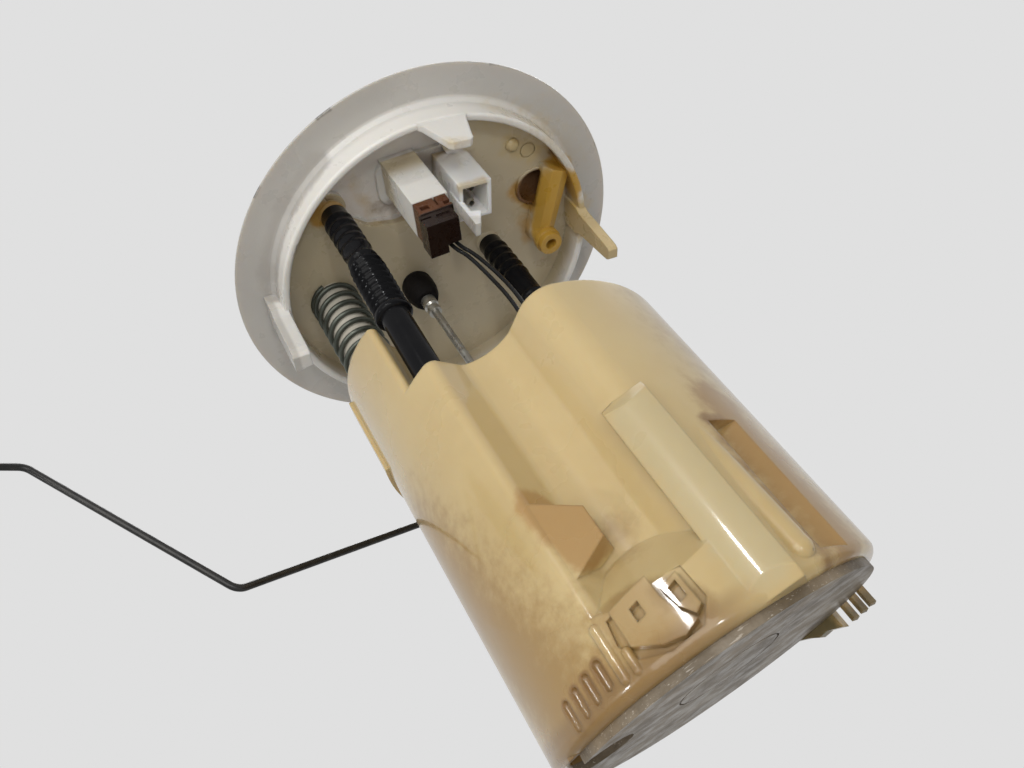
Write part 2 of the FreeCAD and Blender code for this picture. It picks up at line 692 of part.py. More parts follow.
# The pot
FLUTE = dict(left=(-14.4, 1.9), left_foot=(-8.2, 11.4), floor=(-0.2, 13.2), right_foot=(6.4, 11.3),
             right=(14.4, 4.5))


def disc_outline(inset):
    return [Part.makeCircle(POT_R - inset, Vector(POT_XY[0], POT_XY[1], 0))]


def flute_at(name, dx=0.0, dy=0.0):
    """Corner of the flute: across from the pot's middle and back from its front."""
    return Vector(POT_XY[0] + FLUTE[name][0] + dx, POT_XY[1] - POT_R + FLUTE[name][1] + dy, 0)


def flute_tool(inset, low, high):
    """Block that cuts the flute: the wall's outside at inset 0, its inside at the wall's thickness."""
    left, left_foot = flute_at("left", -inset, 0.0), flute_at("left_foot", -0.8 * inset, 0.6 * inset)
    floor, right_foot = flute_at("floor", 0.0, inset), flute_at("right_foot", 0.6 * inset, 0.8 * inset)
    right = flute_at("right", 0.9 * inset, 0.4 * inset)
    left_out = left + (left - left_foot).normalize() * 12.0
    right_out = right + (right - right_foot).normalize() * 16.0
    edges = [
        Part.LineSegment(left_out, left_foot).toShape(),
        Part.Arc(left_foot, floor, right_foot).toShape(),
        Part.LineSegment(right_foot, right_out).toShape(),
        Part.LineSegment(right_out, left_out).toShape(),
    ]
    return prism(edges, low, high)


def below_ramp(drop):
    """Everything under the slope that fills the flute's foot, moved inwards by drop."""
    slab = Part.makeBox(BIG, BIG, BIG, Vector(-BIG / 2, -BIG / 2, -BIG - drop))
    slab.rotate(Vector(0, 0, 0), Vector(1, 0, 0), RAMP_TILT)
    slab.translate(Vector(0, POT_XY[1] - POT_R, RAMP_LOW_Z))
    return slab


def fluted_block(inset, low, high):
    """Round block with the flute pressed into its front and filled again at its foot."""
    disc = prism(disc_outline(inset), low, high)
    places = [(flute_at("left"), 3.0 - 0.9 * inset), (flute_at("right", -1.0, -1.5), 9.0 - inset),
              (flute_at("left_foot", -0.8 * inset, 0.6 * inset), 4.0 + inset),
              (flute_at("right_foot", 0.6 * inset, 0.8 * inset), 5.0 + inset)]
    fluted = disc.cut(flute_tool(inset, low - 1.0, high + 1.0))
    fluted = softened(fluted, [((p.x, p.y), radius) for p, radius in places])
    filled = prism(disc_outline(inset), low, -140.0).common(below_ramp(inset))
    return fluted.fuse(filled)


def groove_tool(inset, low, high):
    """Vertical groove on the right front: steep on its left, with a floor that rises to the right."""
    floor = POT_R - 4.2 - inset
    outline = [(floor, -3.0 - inset), (floor, 0.5 + 0.34 * inset), (POT_R + 1.5, 8.0 + 1.65 * inset),
               (POT_R + 8.0, 8.0 + 1.65 * inset), (POT_R + 8.0, -3.0 - inset)]
    return turned(prism(polygon(outline), low, high), 317.5, POT_XY)


def tower_outline(inset):
    """Region of the tower, bounded by its own curved wall on the inside."""
    def at(deep, y):
        return Vector(POT_XY[0] - POT_R + deep - inset, y, 0)
    a, b, c, d, e = at(21.2, -41.0), at(21.5, -27.5), at(25.4, -8.0), at(22.5, 13.0), at(20.9, 41.0)
    far_top, far_low = Vector(-80, 41.0, 0), Vector(-80, -41.0, 0)
    return [
        Part.LineSegment(a, b).toShape(),
        Part.Arc(b, c, d).toShape(),
        Part.LineSegment(d, e).toShape(),
        Part.LineSegment(e, far_top).toShape(),
        Part.LineSegment(far_top, far_low).toShape(),
        Part.LineSegment(far_low, a).toShape(),
    ]


def tower_block(inset, low, high, corner=0.0):
    column = prism(tower_outline(inset), low, high)
    column = column.common(prism(disc_outline(inset), low, high))
    if corner:
        column = softened(column, [((POT_XY[0] - POT_R + 21.2, -38.0), corner)])
    return column


def above_tower():
    """Everything over the tower's slanted top."""
    slab = Part.makeBox(BIG, BIG, BIG, Vector(-BIG, -BIG / 2, 0))
    slab.translate(Vector(BIG / 2, 0, 0))
    slab.rotate(Vector(0, 0, 0), Vector(0, 1, 0), TOWER_TOP_RISE)
    slab.translate(Vector(TOWER_TOP_X, 0, TOWER_TOP_Z))
    return slab


def pot_shell():
    low = POT_FLOOR_Z - 30.0
    wall = POT_WALL
    body = prism(disc_outline(0.0), low, POT_RIM_Z).cut(below_slant(0.0))
    body = body.makeFillet(FOOT_ROUND_R, [e for e in body.Edges if e.BoundBox.ZMax < POT_RIM_Z - 50.0])
    outer = fluted_block(0.0, low, POT_RIM_Z).common(body)
    outer = outer.cut(groove_tool(0.0, GROOVE_LOW_Z, GROOVE_TOP_Z))
    outer = outer.fuse(tower_block(0.0, TOWER_FOOT_Z, -30.0, 1.6).cut(above_tower()))
    inner = fluted_block(wall, low - 1.0, POT_RIM_Z + 1.0)
    inner = inner.cut(groove_tool(wall, GROOVE_LOW_Z - 20.0, GROOVE_TOP_Z + wall))
    foot_ring = prism(disc_outline(0.0), low, -100.0).cut(prism(disc_outline(FOOT_RING_W), low - 1.0, -99.0))
    inner = inner.cut(foot_ring.common(below_slant(-FOOT_RING_H)))
    partition = tower_block(0.0, TOWER_FOOT_Z, -20.0).cut(tower_block(wall, TOWER_FOOT_Z - 1.0, -19.0))
    inner = inner.cut(partition)
    inner = inner.fuse(tower_block(wall, TOWER_FOOT_Z - 0.5, -20.0))
    floor = tower_block(wall / 2, TOWER_FLOOR_Z - TOWER_FLOOR_T, TOWER_FLOOR_Z)
    return outer.cut(inner).fuse(floor)


def guide_web():
    """Bridge across the pot with the guide eye for the rod."""
    high = GUIDE_WEB_Z
    low = high - GUIDE_WEB_T
    bar = box_at((-60.0, 60.0), (ROD_XY[1] - 5.0, RETURN_XY[1] + 5.0), (low, high))
    bar = bar.common(prism(disc_outline(POT_WALL / 2), low - 1.0, high + 1.0))
    eye = cylinder(6.0, low, high, ROD_XY)
    web = bar.fuse(eye).cut(cylinder(ROD_R + GUIDE_GAP, low - 1.0, high + 1.0, ROD_XY))
    return web.cut(cylinder(HOSE_BORE_R, low - 1.0, high + 1.0, RETURN_XY))


def front_wedge():
    """Slanted gusset between the front ridge and the flute's floor."""
    outline = [(-19.0, -130.0), (-7.0, -139.0), (-7.0, -148.0), (-19.0, -155.5)]
    points = [Vector(x, -27.0, z) for x, z in outline]
    block = Part.Face(Part.makePolygon(points + [points[0]])).extrude(Vector(0, -20.0, 0))
    face = [Vector(-30.0, -42.8, 0), Vector(0.0, -36.2, 0), Vector(0.0, -60.0, 0), Vector(-30.0, -60.0, 0)]
    front = Part.Face(Part.makePolygon(face + [face[0]])).extrude(Vector(0, 0, -200.0))
    ring = prism(disc_outline(0.0), -160.0, -120.0)
    return block.cut(front).common(ring)


def front_panel():
    """Raised half-round panel beside the flute, sloped at both ends."""
    centre = (POT_XY[0] + 17.4, POT_XY[1] - POT_R + 14.0)
    front = centre[1] - 13.0
    column = cylinder(13.0, -182.0, -118.0, centre)
    side = [Vector(0, centre[1] + 4.0, -120.0), Vector(0, front + 4.0, -121.5), Vector(0, front - 1.5, -129.0),
            Vector(0, front - 1.5, -175.8), Vector(0, front + 3.0, -181.6), Vector(0, centre[1] + 4.0, -179.5)]
    profile = Part.Face(Part.makePolygon(side + [side[0]])).extrude(Vector(11.6, 0, 0))
    profile.translate(Vector(centre[0] - 5.8, 0, 0))
    panel = column.common(profile)
    return panel.cut(prism(disc_outline(POT_WALL), -190.0, -110.0))


def ball_rib():
    """Rounded rib beside the groove that grows out of the wall and ends in a ball."""
    top = Vector(*ring_point(POT_R - 3.4, 309.0, POT_XY), -132.0)
    foot = Vector(*ring_point(POT_R - 0.9, 308.0, POT_XY), -174.0)
    bar = Part.makeCylinder(3.1, (foot - top).Length, top, (foot - top).normalize())
    rib = bar.fuse([Part.makeSphere(3.1, foot), Part.makeSphere(3.1, top)])
    return rib.cut(prism(disc_outline(POT_WALL - 0.5), -190.0, -120.0))


def rim_slot(angle, radius, out, low, high):
    """Upright bar with round ends against the pot's wall."""
    x, y = ring_point(POT_R + out, angle, POT_XY)
    bar = cylinder(radius, low, high, (x, y))
    return bar.fuse([Part.makeSphere(radius, Vector(x, y, high)), Part.makeSphere(radius, Vector(x, y, low))])


def rim_slots():
    """Row of four upright slots low on the left front, cut into the wall."""
    return [rim_slot(angle, 1.1, 0.1, -176.5, -171.5) for angle in (227.0, 232.6, 238.0, 243.3)]


def rim_ribs():
    """Two short raised ribs between the slots and the flute."""
    return [rim_slot(248.4, 1.3, -0.4, -178.0, -166.0), rim_slot(252.6, 1.1, -0.4, -178.5, -174.0)]


def wall_patch(outline, proud, deep=2.0):
    """Piece of the pot's wall seen from the front: (x, z) outline, raised over the surface."""
    points = [Vector(x, -60.0, z) for x, z in outline]
    block = Part.Face(Part.makePolygon(points + [points[0]])).extrude(Vector(0, 40.0, 0))
    ring = prism(disc_outline(-proud), -190.0, -150.0).cut(prism(disc_outline(deep), -191.0, -149.0))
    return block.common(ring)


def latch_tongue():
    """Springy tongue with a small window, and the cup beside it."""
    tongue = wall_patch([(-15.0, -165.8), (-5.0, -164.6), (-4.8, -170.0), (-3.6, -174.6), (-1.4, -178.2),
                         (-5.0, -179.6), (-9.5, -178.4), (-15.0, -174.5)], 0.9)
    tongue = tongue.cut(wall_patch([(-11.2, -168.2), (-9.0, -167.9), (-9.0, -171.3), (-11.2, -171.6)], 2.0, 0.9))
    cup = wall_patch([(-4.0, -168.6), (0.4, -167.4), (0.9, -176.0), (-1.0, -177.2), (-3.0, -174.0)], 0.7)
    cup = cup.cut(wall_patch([(-2.8, -169.6), (-0.7, -169.0), (-0.5, -173.0), (-2.4, -173.6)], 2.0, 0.9))
    return tongue.fuse(cup)


def bowl_cut():
    """Shallow hollow round the tongue."""
    return wall_patch([(-16.4, -166.4), (-4.0, -165.4), (1.8, -166.4), (2.4, -175.0), (-1.0, -179.8), (-9.0, -180.2),
                       (-15.0, -177.0), (-17.2, -172.0)], 3.0, 1.1)


def foot_comb():
    """Fins under the right back edge."""
    fins = []
    for angle in (25.0, 30.8, 36.5):
        x, y = ring_point(POT_R - 1.5, angle, POT_XY)
        block = box_at((-0.9, 0.9), (-0.65, 0.65), (foot_z(y) - 6.8, foot_z(y) + 2.0))
        fins.append(turned(block, angle, (x, y)))
    return fins


def foot_bracket():
    """Tapering lump of the rear clip below the back edge."""
    angle = 54.0
    x, y = ring_point(POT_R - 1.7, angle, POT_XY)
    foot = foot_z(y)
    side = [Vector(0, -8.2, foot + 1.0), Vector(0, 9.0, foot + 5.0), Vector(0, 9.0, foot + 1.2), Vector(0, 1.0, foot - 3.6),
            Vector(0, -1.0, foot - 5.2), Vector(0, -4.0, foot - 5.6), Vector(0, -8.2, foot - 8.0)]
    lump = Part.Face(Part.makePolygon(side + [side[0]])).extrude(Vector(2.6, 0, 0))
    lump.translate(Vector(-1.3, 0, 0))
    return turned(lump, angle, (x, y))


def sensor_pad():
    """Flat seat for the level sensor on the tower's outside."""
    block = sensor_box((POT_R - 5.0, SENSOR_FACE), (-SENSOR_HALF_W + 1.0, SENSOR_HALF_W - 1.0),
                       (SENSOR_LOW_Z + 2.0, SENSOR_TOP_Z - 3.0))
    return block.cut(prism(disc_outline(POT_WALL), SENSOR_LOW_Z - 5.0, SENSOR_TOP_Z + 5.0))


def side_rail():
    """Thin raised band on the left of the tower."""
    band = prism(disc_outline(-1.0), -77.0, -48.0).cut(prism(disc_outline(1.0), -78.0, -47.0))
    wedge = Part.Face(Part.Wire(polygon([(POT_XY[0], POT_XY[1]), (-80.0, -24.0), (-80.0, 14.0)])))
    wedge.translate(Vector(0, 0, -80.0))
    return band.common(wedge.extrude(Vector(0, 0, 40.0))).cut(above_tower())


def reservoir_pot():
    pot = fused(pot_shell(), [guide_web(), front_wedge(), front_panel(), ball_rib(), sensor_pad(), side_rail()])
    pot = fused(pot.cut(bowl_cut()), [latch_tongue()] + rim_ribs())
    for slot in rim_slots():
        pot = pot.cut(slot)
    pot = fused(pot, [inlet_chamber(), foot_bracket()] + foot_comb())
    pot = pot.cut(inlet_room())
    pot = pot.cut(cylinder(POST_R + GUIDE_GAP, TOWER_FLOOR_Z - 10.0, TOWER_FLOOR_Z + 10.0, POST_XY))
    pot = pot.cut(sensor_pin(4.2, (SENSOR_FACE - 1.6, SENSOR_FACE + 1.0), 0.0, PIVOT_Z))
    return pot.cut(sensor_pin(2.6, (POT_R - 8.0, SENSOR_FACE + 1.0), LEAD_ALONG, LEAD_EXIT_Z))


INLET_R = 9.0
INLET_H = 9.0


def inlet_chamber():
    """Cup over the filling opening, closed above by its own roof with the valve's hole."""
    foot = foot_z(INLET_XY[1])
    cup = cylinder(INLET_R, foot - 6.0, foot + INLET_H, INLET_XY)
    cup = cup.common(prism(disc_outline(1.0), foot - 7.0, foot + 20.0)).cut(below_slant(0.0))
    return cup.cut(cylinder(VALVE_STEM_R + 0.05, foot + INLET_H - 4.0, foot + INLET_H + 1.0, INLET_XY))


def inlet_room():
    """Hollow of the filling cup."""
    foot = foot_z(INLET_XY[1])
    room = cylinder(INLET_R - 1.6, foot - 20.0, foot + INLET_H - 1.8, INLET_XY)
    return room.common(prism(disc_outline(1.8), foot - 21.0, foot + 20.0))


VALVE_STEM_R = 1.6


def filling_valve():
    """Rubber umbrella valve on the chamber's roof."""
    roof = foot_z(INLET_XY[1]) + INLET_H
    profile = [(0.0, roof + 2.4), (3.0, roof + 2.0), (6.0, roof + 0.9), (6.2, roof), (VALVE_STEM_R, roof),
               (VALVE_STEM_R, roof - 1.8), (VALVE_STEM_R + 0.7, roof - 1.85), (VALVE_STEM_R, roof - 4.6),
               (0.0, roof - 4.8)]
    return revolved(profile, INLET_XY)


def bottom_plate():
    """Slanted plate welded under the pot's foot ring, open at the filling pocket."""
    low = POT_FLOOR_Z - 30.0
    slab = prism(disc_outline(PLATE_INSET), low, POT_FLOOR_Z + 30.0)
    slab = slab.common(below_slant(0.0)).cut(below_slant(PLATE_T))
    slab = slab.cut(cylinder(INLET_R - 1.6, low, POT_FLOOR_Z + 30.0, INLET_XY))
    x, y = PLATE_MARK_XY
    ring = tube(13.2, 12.7, foot_z(y) - 12.0, foot_z(y) + 12.0, (x, y))
    return slab.cut(ring.common(below_slant(PLATE_T - 0.4)))


PLATE_MARK_XY = (-2.0, -8.0)


# Pipes and pump inside the pot
PIPE_R = HOSE_BORE_R - HOSE_GAP
PUMP_Y = RETURN_XY[1] + 6.0
PUMP_AXIS_Z = foot_z(PUMP_Y) + 4.4 / math.cos(math.radians(POT_SLANT))
PUMP_TOP_Z = PUMP_AXIS_Z + 12.0


def suction_pipe():
    """Rigid tail of the feed line, from the hose to the strainer."""
    x, y = FEED_FOOT_XY
    points = [(x, y, HOSE_LOW + 12.0), (x, y, -118.0), (x + 10.0, y + 18.0, -140.0), (x + 10.0, y + 18.0, -158.0)]
    outer = swept(points, PIPE_R, 10.0)
    inner = swept(points, PIPE_R - 1.0, 10.0)
    return outer.cut(inner)


def suction_strainer():
    """Flat mesh bag on the pipe's end, above the floor."""
    x, y = FEED_FOOT_XY[0] + 10.0, FEED_FOOT_XY[1] + 18.0
    top = -157.0
    collar = tube(PIPE_R + 1.6, PIPE_R + 0.05, top - 4.0, top + 3.0, (x, y))
    bag = prism(rounded([(x - 11, y - 9), (x + 20, y - 9), (x + 20, y + 16), (x - 11, y + 16)], 5.0),
                top - 8.0, top - 3.0)
    return bag.fuse(collar)


def return_pipe():
    x, y = RETURN_XY
    return tube(PIPE_R, PIPE_R - 1.0, PUMP_TOP_Z + 0.1, HOSE_LOW + 12.0, RETURN_XY)


def jet_pump():
    """Venturi body that the return flow drives, standing near the floor."""
    x, y = RETURN_XY
    tip, neck_z, reach = PUMP_TOP_Z - 10.0, PUMP_AXIS_Z, POT_R - 33.0
    nozzle = revolved([(0.9, tip), (1.8, tip + 4.0), (PIPE_R + 0.05, PUMP_TOP_Z - 2.0),
                       (PIPE_R + 0.05, PUMP_TOP_Z + 6.0), (PIPE_R + 1.8, PUMP_TOP_Z + 6.0),
                       (PIPE_R + 1.8, PUMP_TOP_Z - 4.0), (3.0, tip)], (x, y))
    throat = Part.makeCylinder(4.2, 17.0 + reach, Vector(x - 17.0, PUMP_Y, neck_z), Vector(1, 0, 0))
    duct = Part.makeCylinder(2.2, 60.0, Vector(x - 30.0, PUMP_Y, neck_z), Vector(1, 0, 0))
    neck = box_at((x - 4.0, x + 4.0), (y, PUMP_Y), (neck_z - 3.0, neck_z + 4.0))
    body = nozzle.fuse([throat, neck]).cut(duct)
    return body.cut(cylinder(1.2, neck_z - 2.0, neck_z + 5.0, (x, y)))


# Level sensor
def sensor_housing():
    low, high = SENSOR_LOW_Z, SENSOR_TOP_Z
    face, front = SENSOR_FACE, SENSOR_FACE + SENSOR_T
    base = sensor_box((face, front), (-SENSOR_HALF_W, SENSOR_HALF_W), (low, high))
    recess = sensor_box((front - CARD_DEEP, front + 1.0), (-8.8, 8.8), (low + 3.0, PIVOT_Z - 6.0))
    ears = [sensor_box((front - 0.5, front + 2.4), (s, s + 1.4), (high - 7.0, high - 1.0))
            for s in (-SENSOR_HALF_W, SENSOR_HALF_W - 1.4)]
    body = fused(base.cut(recess), ears)
    socket = sensor_box((face + 0.4, front - 0.4), (LEAD_ALONG - 3.2, LEAD_ALONG + 3.2), (low - 3.0, low + 0.1))
    body = body.fuse(socket)
    for shift in (-1.1, 1.1):
        place = sensor_point(SENSOR_FACE + 1.8, LEAD_ALONG + shift, low - 4.0)
        body = body.cut(cylinder(LEAD_R + 0.05, low - 4.0, low - 0.5, (place.x, place.y)))
    return body.cut(sensor_pin(PIVOT_R, (face - 6.0, face + 10.0), 0.0, PIVOT_Z))


CARD_DEEP = 1.5
CARD_T = 0.7
TRACK_T = 0.1


def resistor_card():
    """Ceramic card with its curved track, in the housing's recess."""
    face = SENSOR_FACE + SENSOR_T - CARD_DEEP
    card = sensor_box((face, face + CARD_T), (-8.6, 8.6), (SENSOR_LOW_Z + 3.2, PIVOT_Z - 6.2))
    track = sensor_pin(15.6, (face + CARD_T, face + CARD_T + TRACK_T), 0.0, PIVOT_Z).cut(
        sensor_pin(12.6, (face, face + 2.0), 0.0, PIVOT_Z))
    window = sensor_box((face, face + 2.0), (-8.0, 8.0), (SENSOR_LOW_Z + 4.0, PIVOT_Z - 8.0))
    return card.fuse(track.common(window))


HOLDER_FACE = SENSOR_FACE + SENSOR_T + 0.9
ARM_LIMITS = (-44.0, 6.0)


def arm_slope():
    """Angle of the arm's first run in the swing plane, upwards positive."""
    run = ARM_BEND_A[0] - ARM_START[0]
    rise = ARM_BEND_A[1] - ARM_START[1]
    return math.degrees(math.atan2(rise, run))


def tail_slope():
    """The wiper's tail hangs straight down halfway between the arm's limits."""
    return -90.0 - (ARM_LIMITS[0] + ARM_LIMITS[1]) / 2.0


def swing_box(out, along, across, slope):
    """Box that turns with the arm: its long side leaves the pivot at a slope."""
    block = Part.makeBox(out[1] - out[0], along[1] - along[0], across[1] - across[0],
                         Vector(out[0], along[0], across[0]))
    block.rotate(Vector(0, 0, 0), Vector(1, 0, 0), slope)
    block.rotate(Vector(0, 0, 0), Vector(0, 0, 1), SENSOR_TURN)
    block.translate(Vector(POT_XY[0], POT_XY[1], PIVOT_Z))
    return block


def arm_holder():
    """Turning plastic holder: hub, pivot stem, wiper tail and clips that grip the wire."""
    face = HOLDER_FACE
    hub = sensor_pin(6.5, (face, face + HOLDER_T), 0.0, PIVOT_Z)
    shoulder = sensor_pin(3.4, (SENSOR_FACE + SENSOR_T + 0.05, face + 0.2), 0.0, PIVOT_Z)
    stem = sensor_pin(PIVOT_R - 0.05, (SENSOR_FACE - 1.2, face + 0.2), 0.0, PIVOT_Z)
    blade = swing_box((face, face + HOLDER_T), (-6.0, 12.0), (-4.2, 4.2), arm_slope())
    tail = swing_box((face, face + HOLDER_T), (0.0, 15.6), (-2.6, 2.6), tail_slope())
    clips = []
    for along in ((3.2, 5.0), (9.6, 11.4)):
        for side in ((ARM_R + 0.06, ARM_R + 1.3), (-ARM_R - 1.3, -ARM_R - 0.06)):
            clips.append(swing_box((face + HOLDER_T - 0.2, ARM_PLANE + 0.7), along, side, arm_slope()))
    body = fused(hub, [shoulder, stem, blade, tail] + clips)
    return body.cut(sensor_pin(ARM_R + 0.06, (face - 0.4, face + 6.0), ARM_START[0], ARM_START[1]))


def pivot_washer():
    """Push-on washer on the stem's inner end, in the pot's recess."""
    ring = sensor_pin(3.4, (SENSOR_FACE - 1.1, SENSOR_FACE - 0.1), 0.0, PIVOT_Z)
    return ring.cut(sensor_pin(PIVOT_R - 0.05, (SENSOR_FACE - 4.0, SENSOR_FACE + 2.0), 0.0, PIVOT_Z))


def wiper():
    """Two-fingered contact spring under the holder's tail."""
    face = SENSOR_FACE + SENSOR_T - CARD_DEEP + CARD_T + TRACK_T + 0.1
    fingers = [swing_box((face, face + 0.25), (8.2, 15.4), (s - 0.5, s + 0.5), tail_slope()) for s in (-1.3, 1.3)]
    bridge = swing_box((face, HOLDER_FACE), (8.2, 9.4), (-1.8, 1.8), tail_slope())
    return fingers[0].fuse([fingers[1], bridge])


def arm_points():
    """Corners of the float wire, from the holder's hole to the float's far side."""
    float_far = ARM_PLANE - FLOAT_GAP - FLOAT_SIZE[1]
    places = [
        (HOLDER_FACE + 0.2,) + ARM_START,
        (ARM_PLANE,) + ARM_START,
        (ARM_PLANE,) + ARM_BEND_A,
        (ARM_PLANE,) + ARM_BEND_B,
        (ARM_PLANE,) + ARM_END,
        (float_far - 3.0,) + ARM_END,
    ]
    return [tuple(sensor_point(*place)) for place in places]


def arm_wire():
    """One steel wire: hooked into the holder, bent twice, hooked through the float."""
    points = arm_points()
    nodes = [Vector(*p) for p in points]
    radii = (1.4, ARM_BEND_R, ARM_BEND_R, 3.0)
    edges = []
    last = nodes[0]
    for index, bend in enumerate(radii, start=1):
        corner = nodes[index]
        into = (nodes[index - 1] - corner).normalize()
        out = (nodes[index + 1] - corner).normalize()
        half = into.getAngle(out) / 2.0
        reach = bend / math.tan(half)
        middle = (into + out).normalize()
        centre = corner + middle * (bend / math.sin(half))
        edges.append(Part.LineSegment(last, corner + into * reach).toShape())
        edges.append(Part.Arc(corner + into * reach, centre - middle * bend, corner + out * reach).toShape())
        last = corner + out * reach
    edges.append(Part.LineSegment(last, nodes[-1]).toShape())
    circle = Part.Wire(Part.makeCircle(ARM_R, nodes[0], (nodes[1] - nodes[0]).normalize()))
    return Part.Wire(edges).makePipeShell([circle], True, True)


def float_body():
    """Closed-cell block that turns on the wire's end."""
    length, thick, height = FLOAT_SIZE
    far = ARM_PLANE - FLOAT_GAP - thick
    block = Part.makeBox(thick, length, height, Vector(far, ARM_END[0] - length / 2, ARM_END[1] - height / 2))
    edges = [e for e in block.Edges if abs(e.tangentAt(e.FirstParameter).x) > 0.9]
    block = block.makeFillet(FLOAT_CORNER, edges)
    rims = [e for e in block.Edges if abs(e.Vertexes[0].Point.x - e.Vertexes[-1].Point.x) < 0.001]
    block = block.makeChamfer(1.2, rims)
    block = turned(block, SENSOR_TURN, POT_XY)
    return block.cut(sensor_pin(ARM_R + 0.08, (far - 5.0, far + thick + 5.0), ARM_END[0], ARM_END[1]))


def float_clip():
    """Push-on washer on the wire's end."""
    far = ARM_PLANE - FLOAT_GAP - FLOAT_SIZE[1]
    ring = sensor_pin(3.2, (far - 0.3 - CLIP_T, far - 0.3), ARM_END[0], ARM_END[1])
    return ring.cut(sensor_pin(ARM_R + 0.03, (far - 6.0, far + 2.0), ARM_END[0], ARM_END[1]))


NODES = {
    "flange_cover": flange_cover,
    "outer_terminals": outer_terminals,
    "socket_pins": socket_pins,
    "plug_housing": plug_housing,
    "sensor_lead_a": lambda: lead(0),
    "sensor_lead_b": lambda: lead(1),
    "feed_hose": feed_hose,
    "return_hose": return_hose,
    "guide_post": guide_post,
    "post_stop": post_stop,
    "slide_spring": slide_spring,
    "rod_bush": rod_bush,
    "rod_ferrule": rod_ferrule,
    "guide_rod": guide_rod,
    "rod_stop": rod_stop,
    "reservoir_pot": reservoir_pot,
    "bottom_plate": bottom_plate,
    "filling_valve": filling_valve,
    "suction_pipe": suction_pipe,
    "suction_strainer": suction_strainer,
    "return_pipe": return_pipe,
    "jet_pump": jet_pump,
    "sensor_housing": sensor_housing,
    "resistor_card": resistor_card,
    "arm_holder": arm_holder,
    "pivot_washer": pivot_washer,
    "wiper": wiper,
    "float_arm": arm_wire,
    "float": float_body,
    "float_clip": float_clip,
}

for node_name, make in NODES.items():
    save(make(), node_name)
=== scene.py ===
# %% [markdown]
# # Fuel tank sending unit
# The lid of a car's fuel tank with everything that hangs from it: two hoses, a spring on a guide post,
# a thin guide rod, a plug with its two leads, and an amber pot that carries the level sensor's float arm.
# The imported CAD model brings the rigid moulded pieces. This lesson adds the looks: the hoses, the spring
# and the leads are made here as meshes that follow smooth lines, and every surface gets a node material.

import math

import bmesh
import bpy
from mathutils import Matrix, Vector


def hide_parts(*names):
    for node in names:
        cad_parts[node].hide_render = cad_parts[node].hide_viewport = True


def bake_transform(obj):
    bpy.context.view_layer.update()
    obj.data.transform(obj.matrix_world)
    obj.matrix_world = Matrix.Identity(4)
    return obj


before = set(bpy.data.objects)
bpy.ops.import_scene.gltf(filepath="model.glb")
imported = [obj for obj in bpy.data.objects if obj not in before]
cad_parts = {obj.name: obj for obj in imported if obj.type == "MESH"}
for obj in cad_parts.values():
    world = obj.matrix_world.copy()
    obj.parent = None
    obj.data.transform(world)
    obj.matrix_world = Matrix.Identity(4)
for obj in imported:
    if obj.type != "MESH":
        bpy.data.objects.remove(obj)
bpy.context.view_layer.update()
scene = bpy.context.scene
scene.view_settings.view_transform = "Standard"

# %% [markdown]
# The photograph was taken from below the lid, so the camera looks up along the pot. Its place was worked
# out from the round rim of the lid, which shows as an ellipse. A camera's matrix holds its right, its up
# and its backward direction in its first three columns, so it is filled in directly from two of them.

# %% Camera at the photograph's angle
EYE = Vector((-0.0041487, -0.2302346, -0.2633178))
RIGHT = Vector((0.81203, 0.37862, -0.44413)).normalized()
UP = Vector((0.58362, -0.52680, 0.61796)).normalized()
BACK = RIGHT.cross(UP)

camera_data = bpy.data.cameras.new("photo_view")
camera_data.sensor_width = 36.0
camera_data.lens = 36.914
camera = bpy.data.objects.new("photo_view", camera_data)
camera.matrix_world = Matrix.Translation(EYE) @ Matrix((RIGHT, UP, BACK)).transposed().to_4x4()
scene.collection.objects.link(camera)
scene.camera = camera
print("camera looks along", [round(v, 3) for v in -BACK])


# %% [markdown]
# A pale studio comes from three things: a world that lights everything softly, area lamps, and a floor.
# Two large lamps give the soft light. Three very small ones add little light, but glossy plastic shows each
# of them as a sharp glint, as the photograph does on the hose's rings and on the pot's ridges. The key lamp
# and the small ones are placed along the camera's right, up and backward directions, from the part's middle.


# %% Light helper
def area_lamp(name, place, target, size, power, colour=(1.0, 1.0, 1.0)):
    """Square soft lamp that faces a target."""
    lamp = bpy.data.lights.new(name, "AREA")
    lamp.shape = "SQUARE"
    lamp.size = size
    lamp.energy = power
    lamp.color = colour
    lamp_object = bpy.data.objects.new(name, lamp)
    place = Vector(place)
    lamp_object.location = place
    lamp_object.rotation_euler = (Vector(target) - place).to_track_quat("-Z", "Y").to_euler()
    scene.collection.objects.link(lamp_object)


# %% Lamps
CENTRE = Vector((-0.005, -0.01, -0.09))
SOFT_SIZE = 0.8
KEY_PLACE = (-0.34, 0.26, 0.82)
KEY_POWER = 5.2
TOP_PLACE = Vector((0.15, 0.25, 0.75))
TOP_POWER = 6.0
WINDOWS = {"left": (-0.60, -0.16, 0.45), "right": (0.12, 0.14, 0.72), "upper": (-0.35, 0.50, 0.36)}
WINDOW_SIZE = 0.05
WINDOW_POWER = 0.7
WARM_WHITE = (1.0, 0.985, 0.96)
COOL_WHITE = (0.98, 0.99, 1.0)


def from_camera_side(across, up, back):
    """Place at these distances from the part's middle, along the camera's directions."""
    return CENTRE + RIGHT * across + UP * up + BACK * back


area_lamp("key", from_camera_side(*KEY_PLACE), CENTRE, SOFT_SIZE, KEY_POWER, WARM_WHITE)
area_lamp("top", TOP_PLACE, CENTRE, SOFT_SIZE, TOP_POWER)
for side, place in WINDOWS.items():
    area_lamp("window_" + side, from_camera_side(*place), CENTRE, WINDOW_SIZE, WINDOW_POWER, COOL_WHITE)
print("lamps:", [lamp.name for lamp in bpy.data.lights])

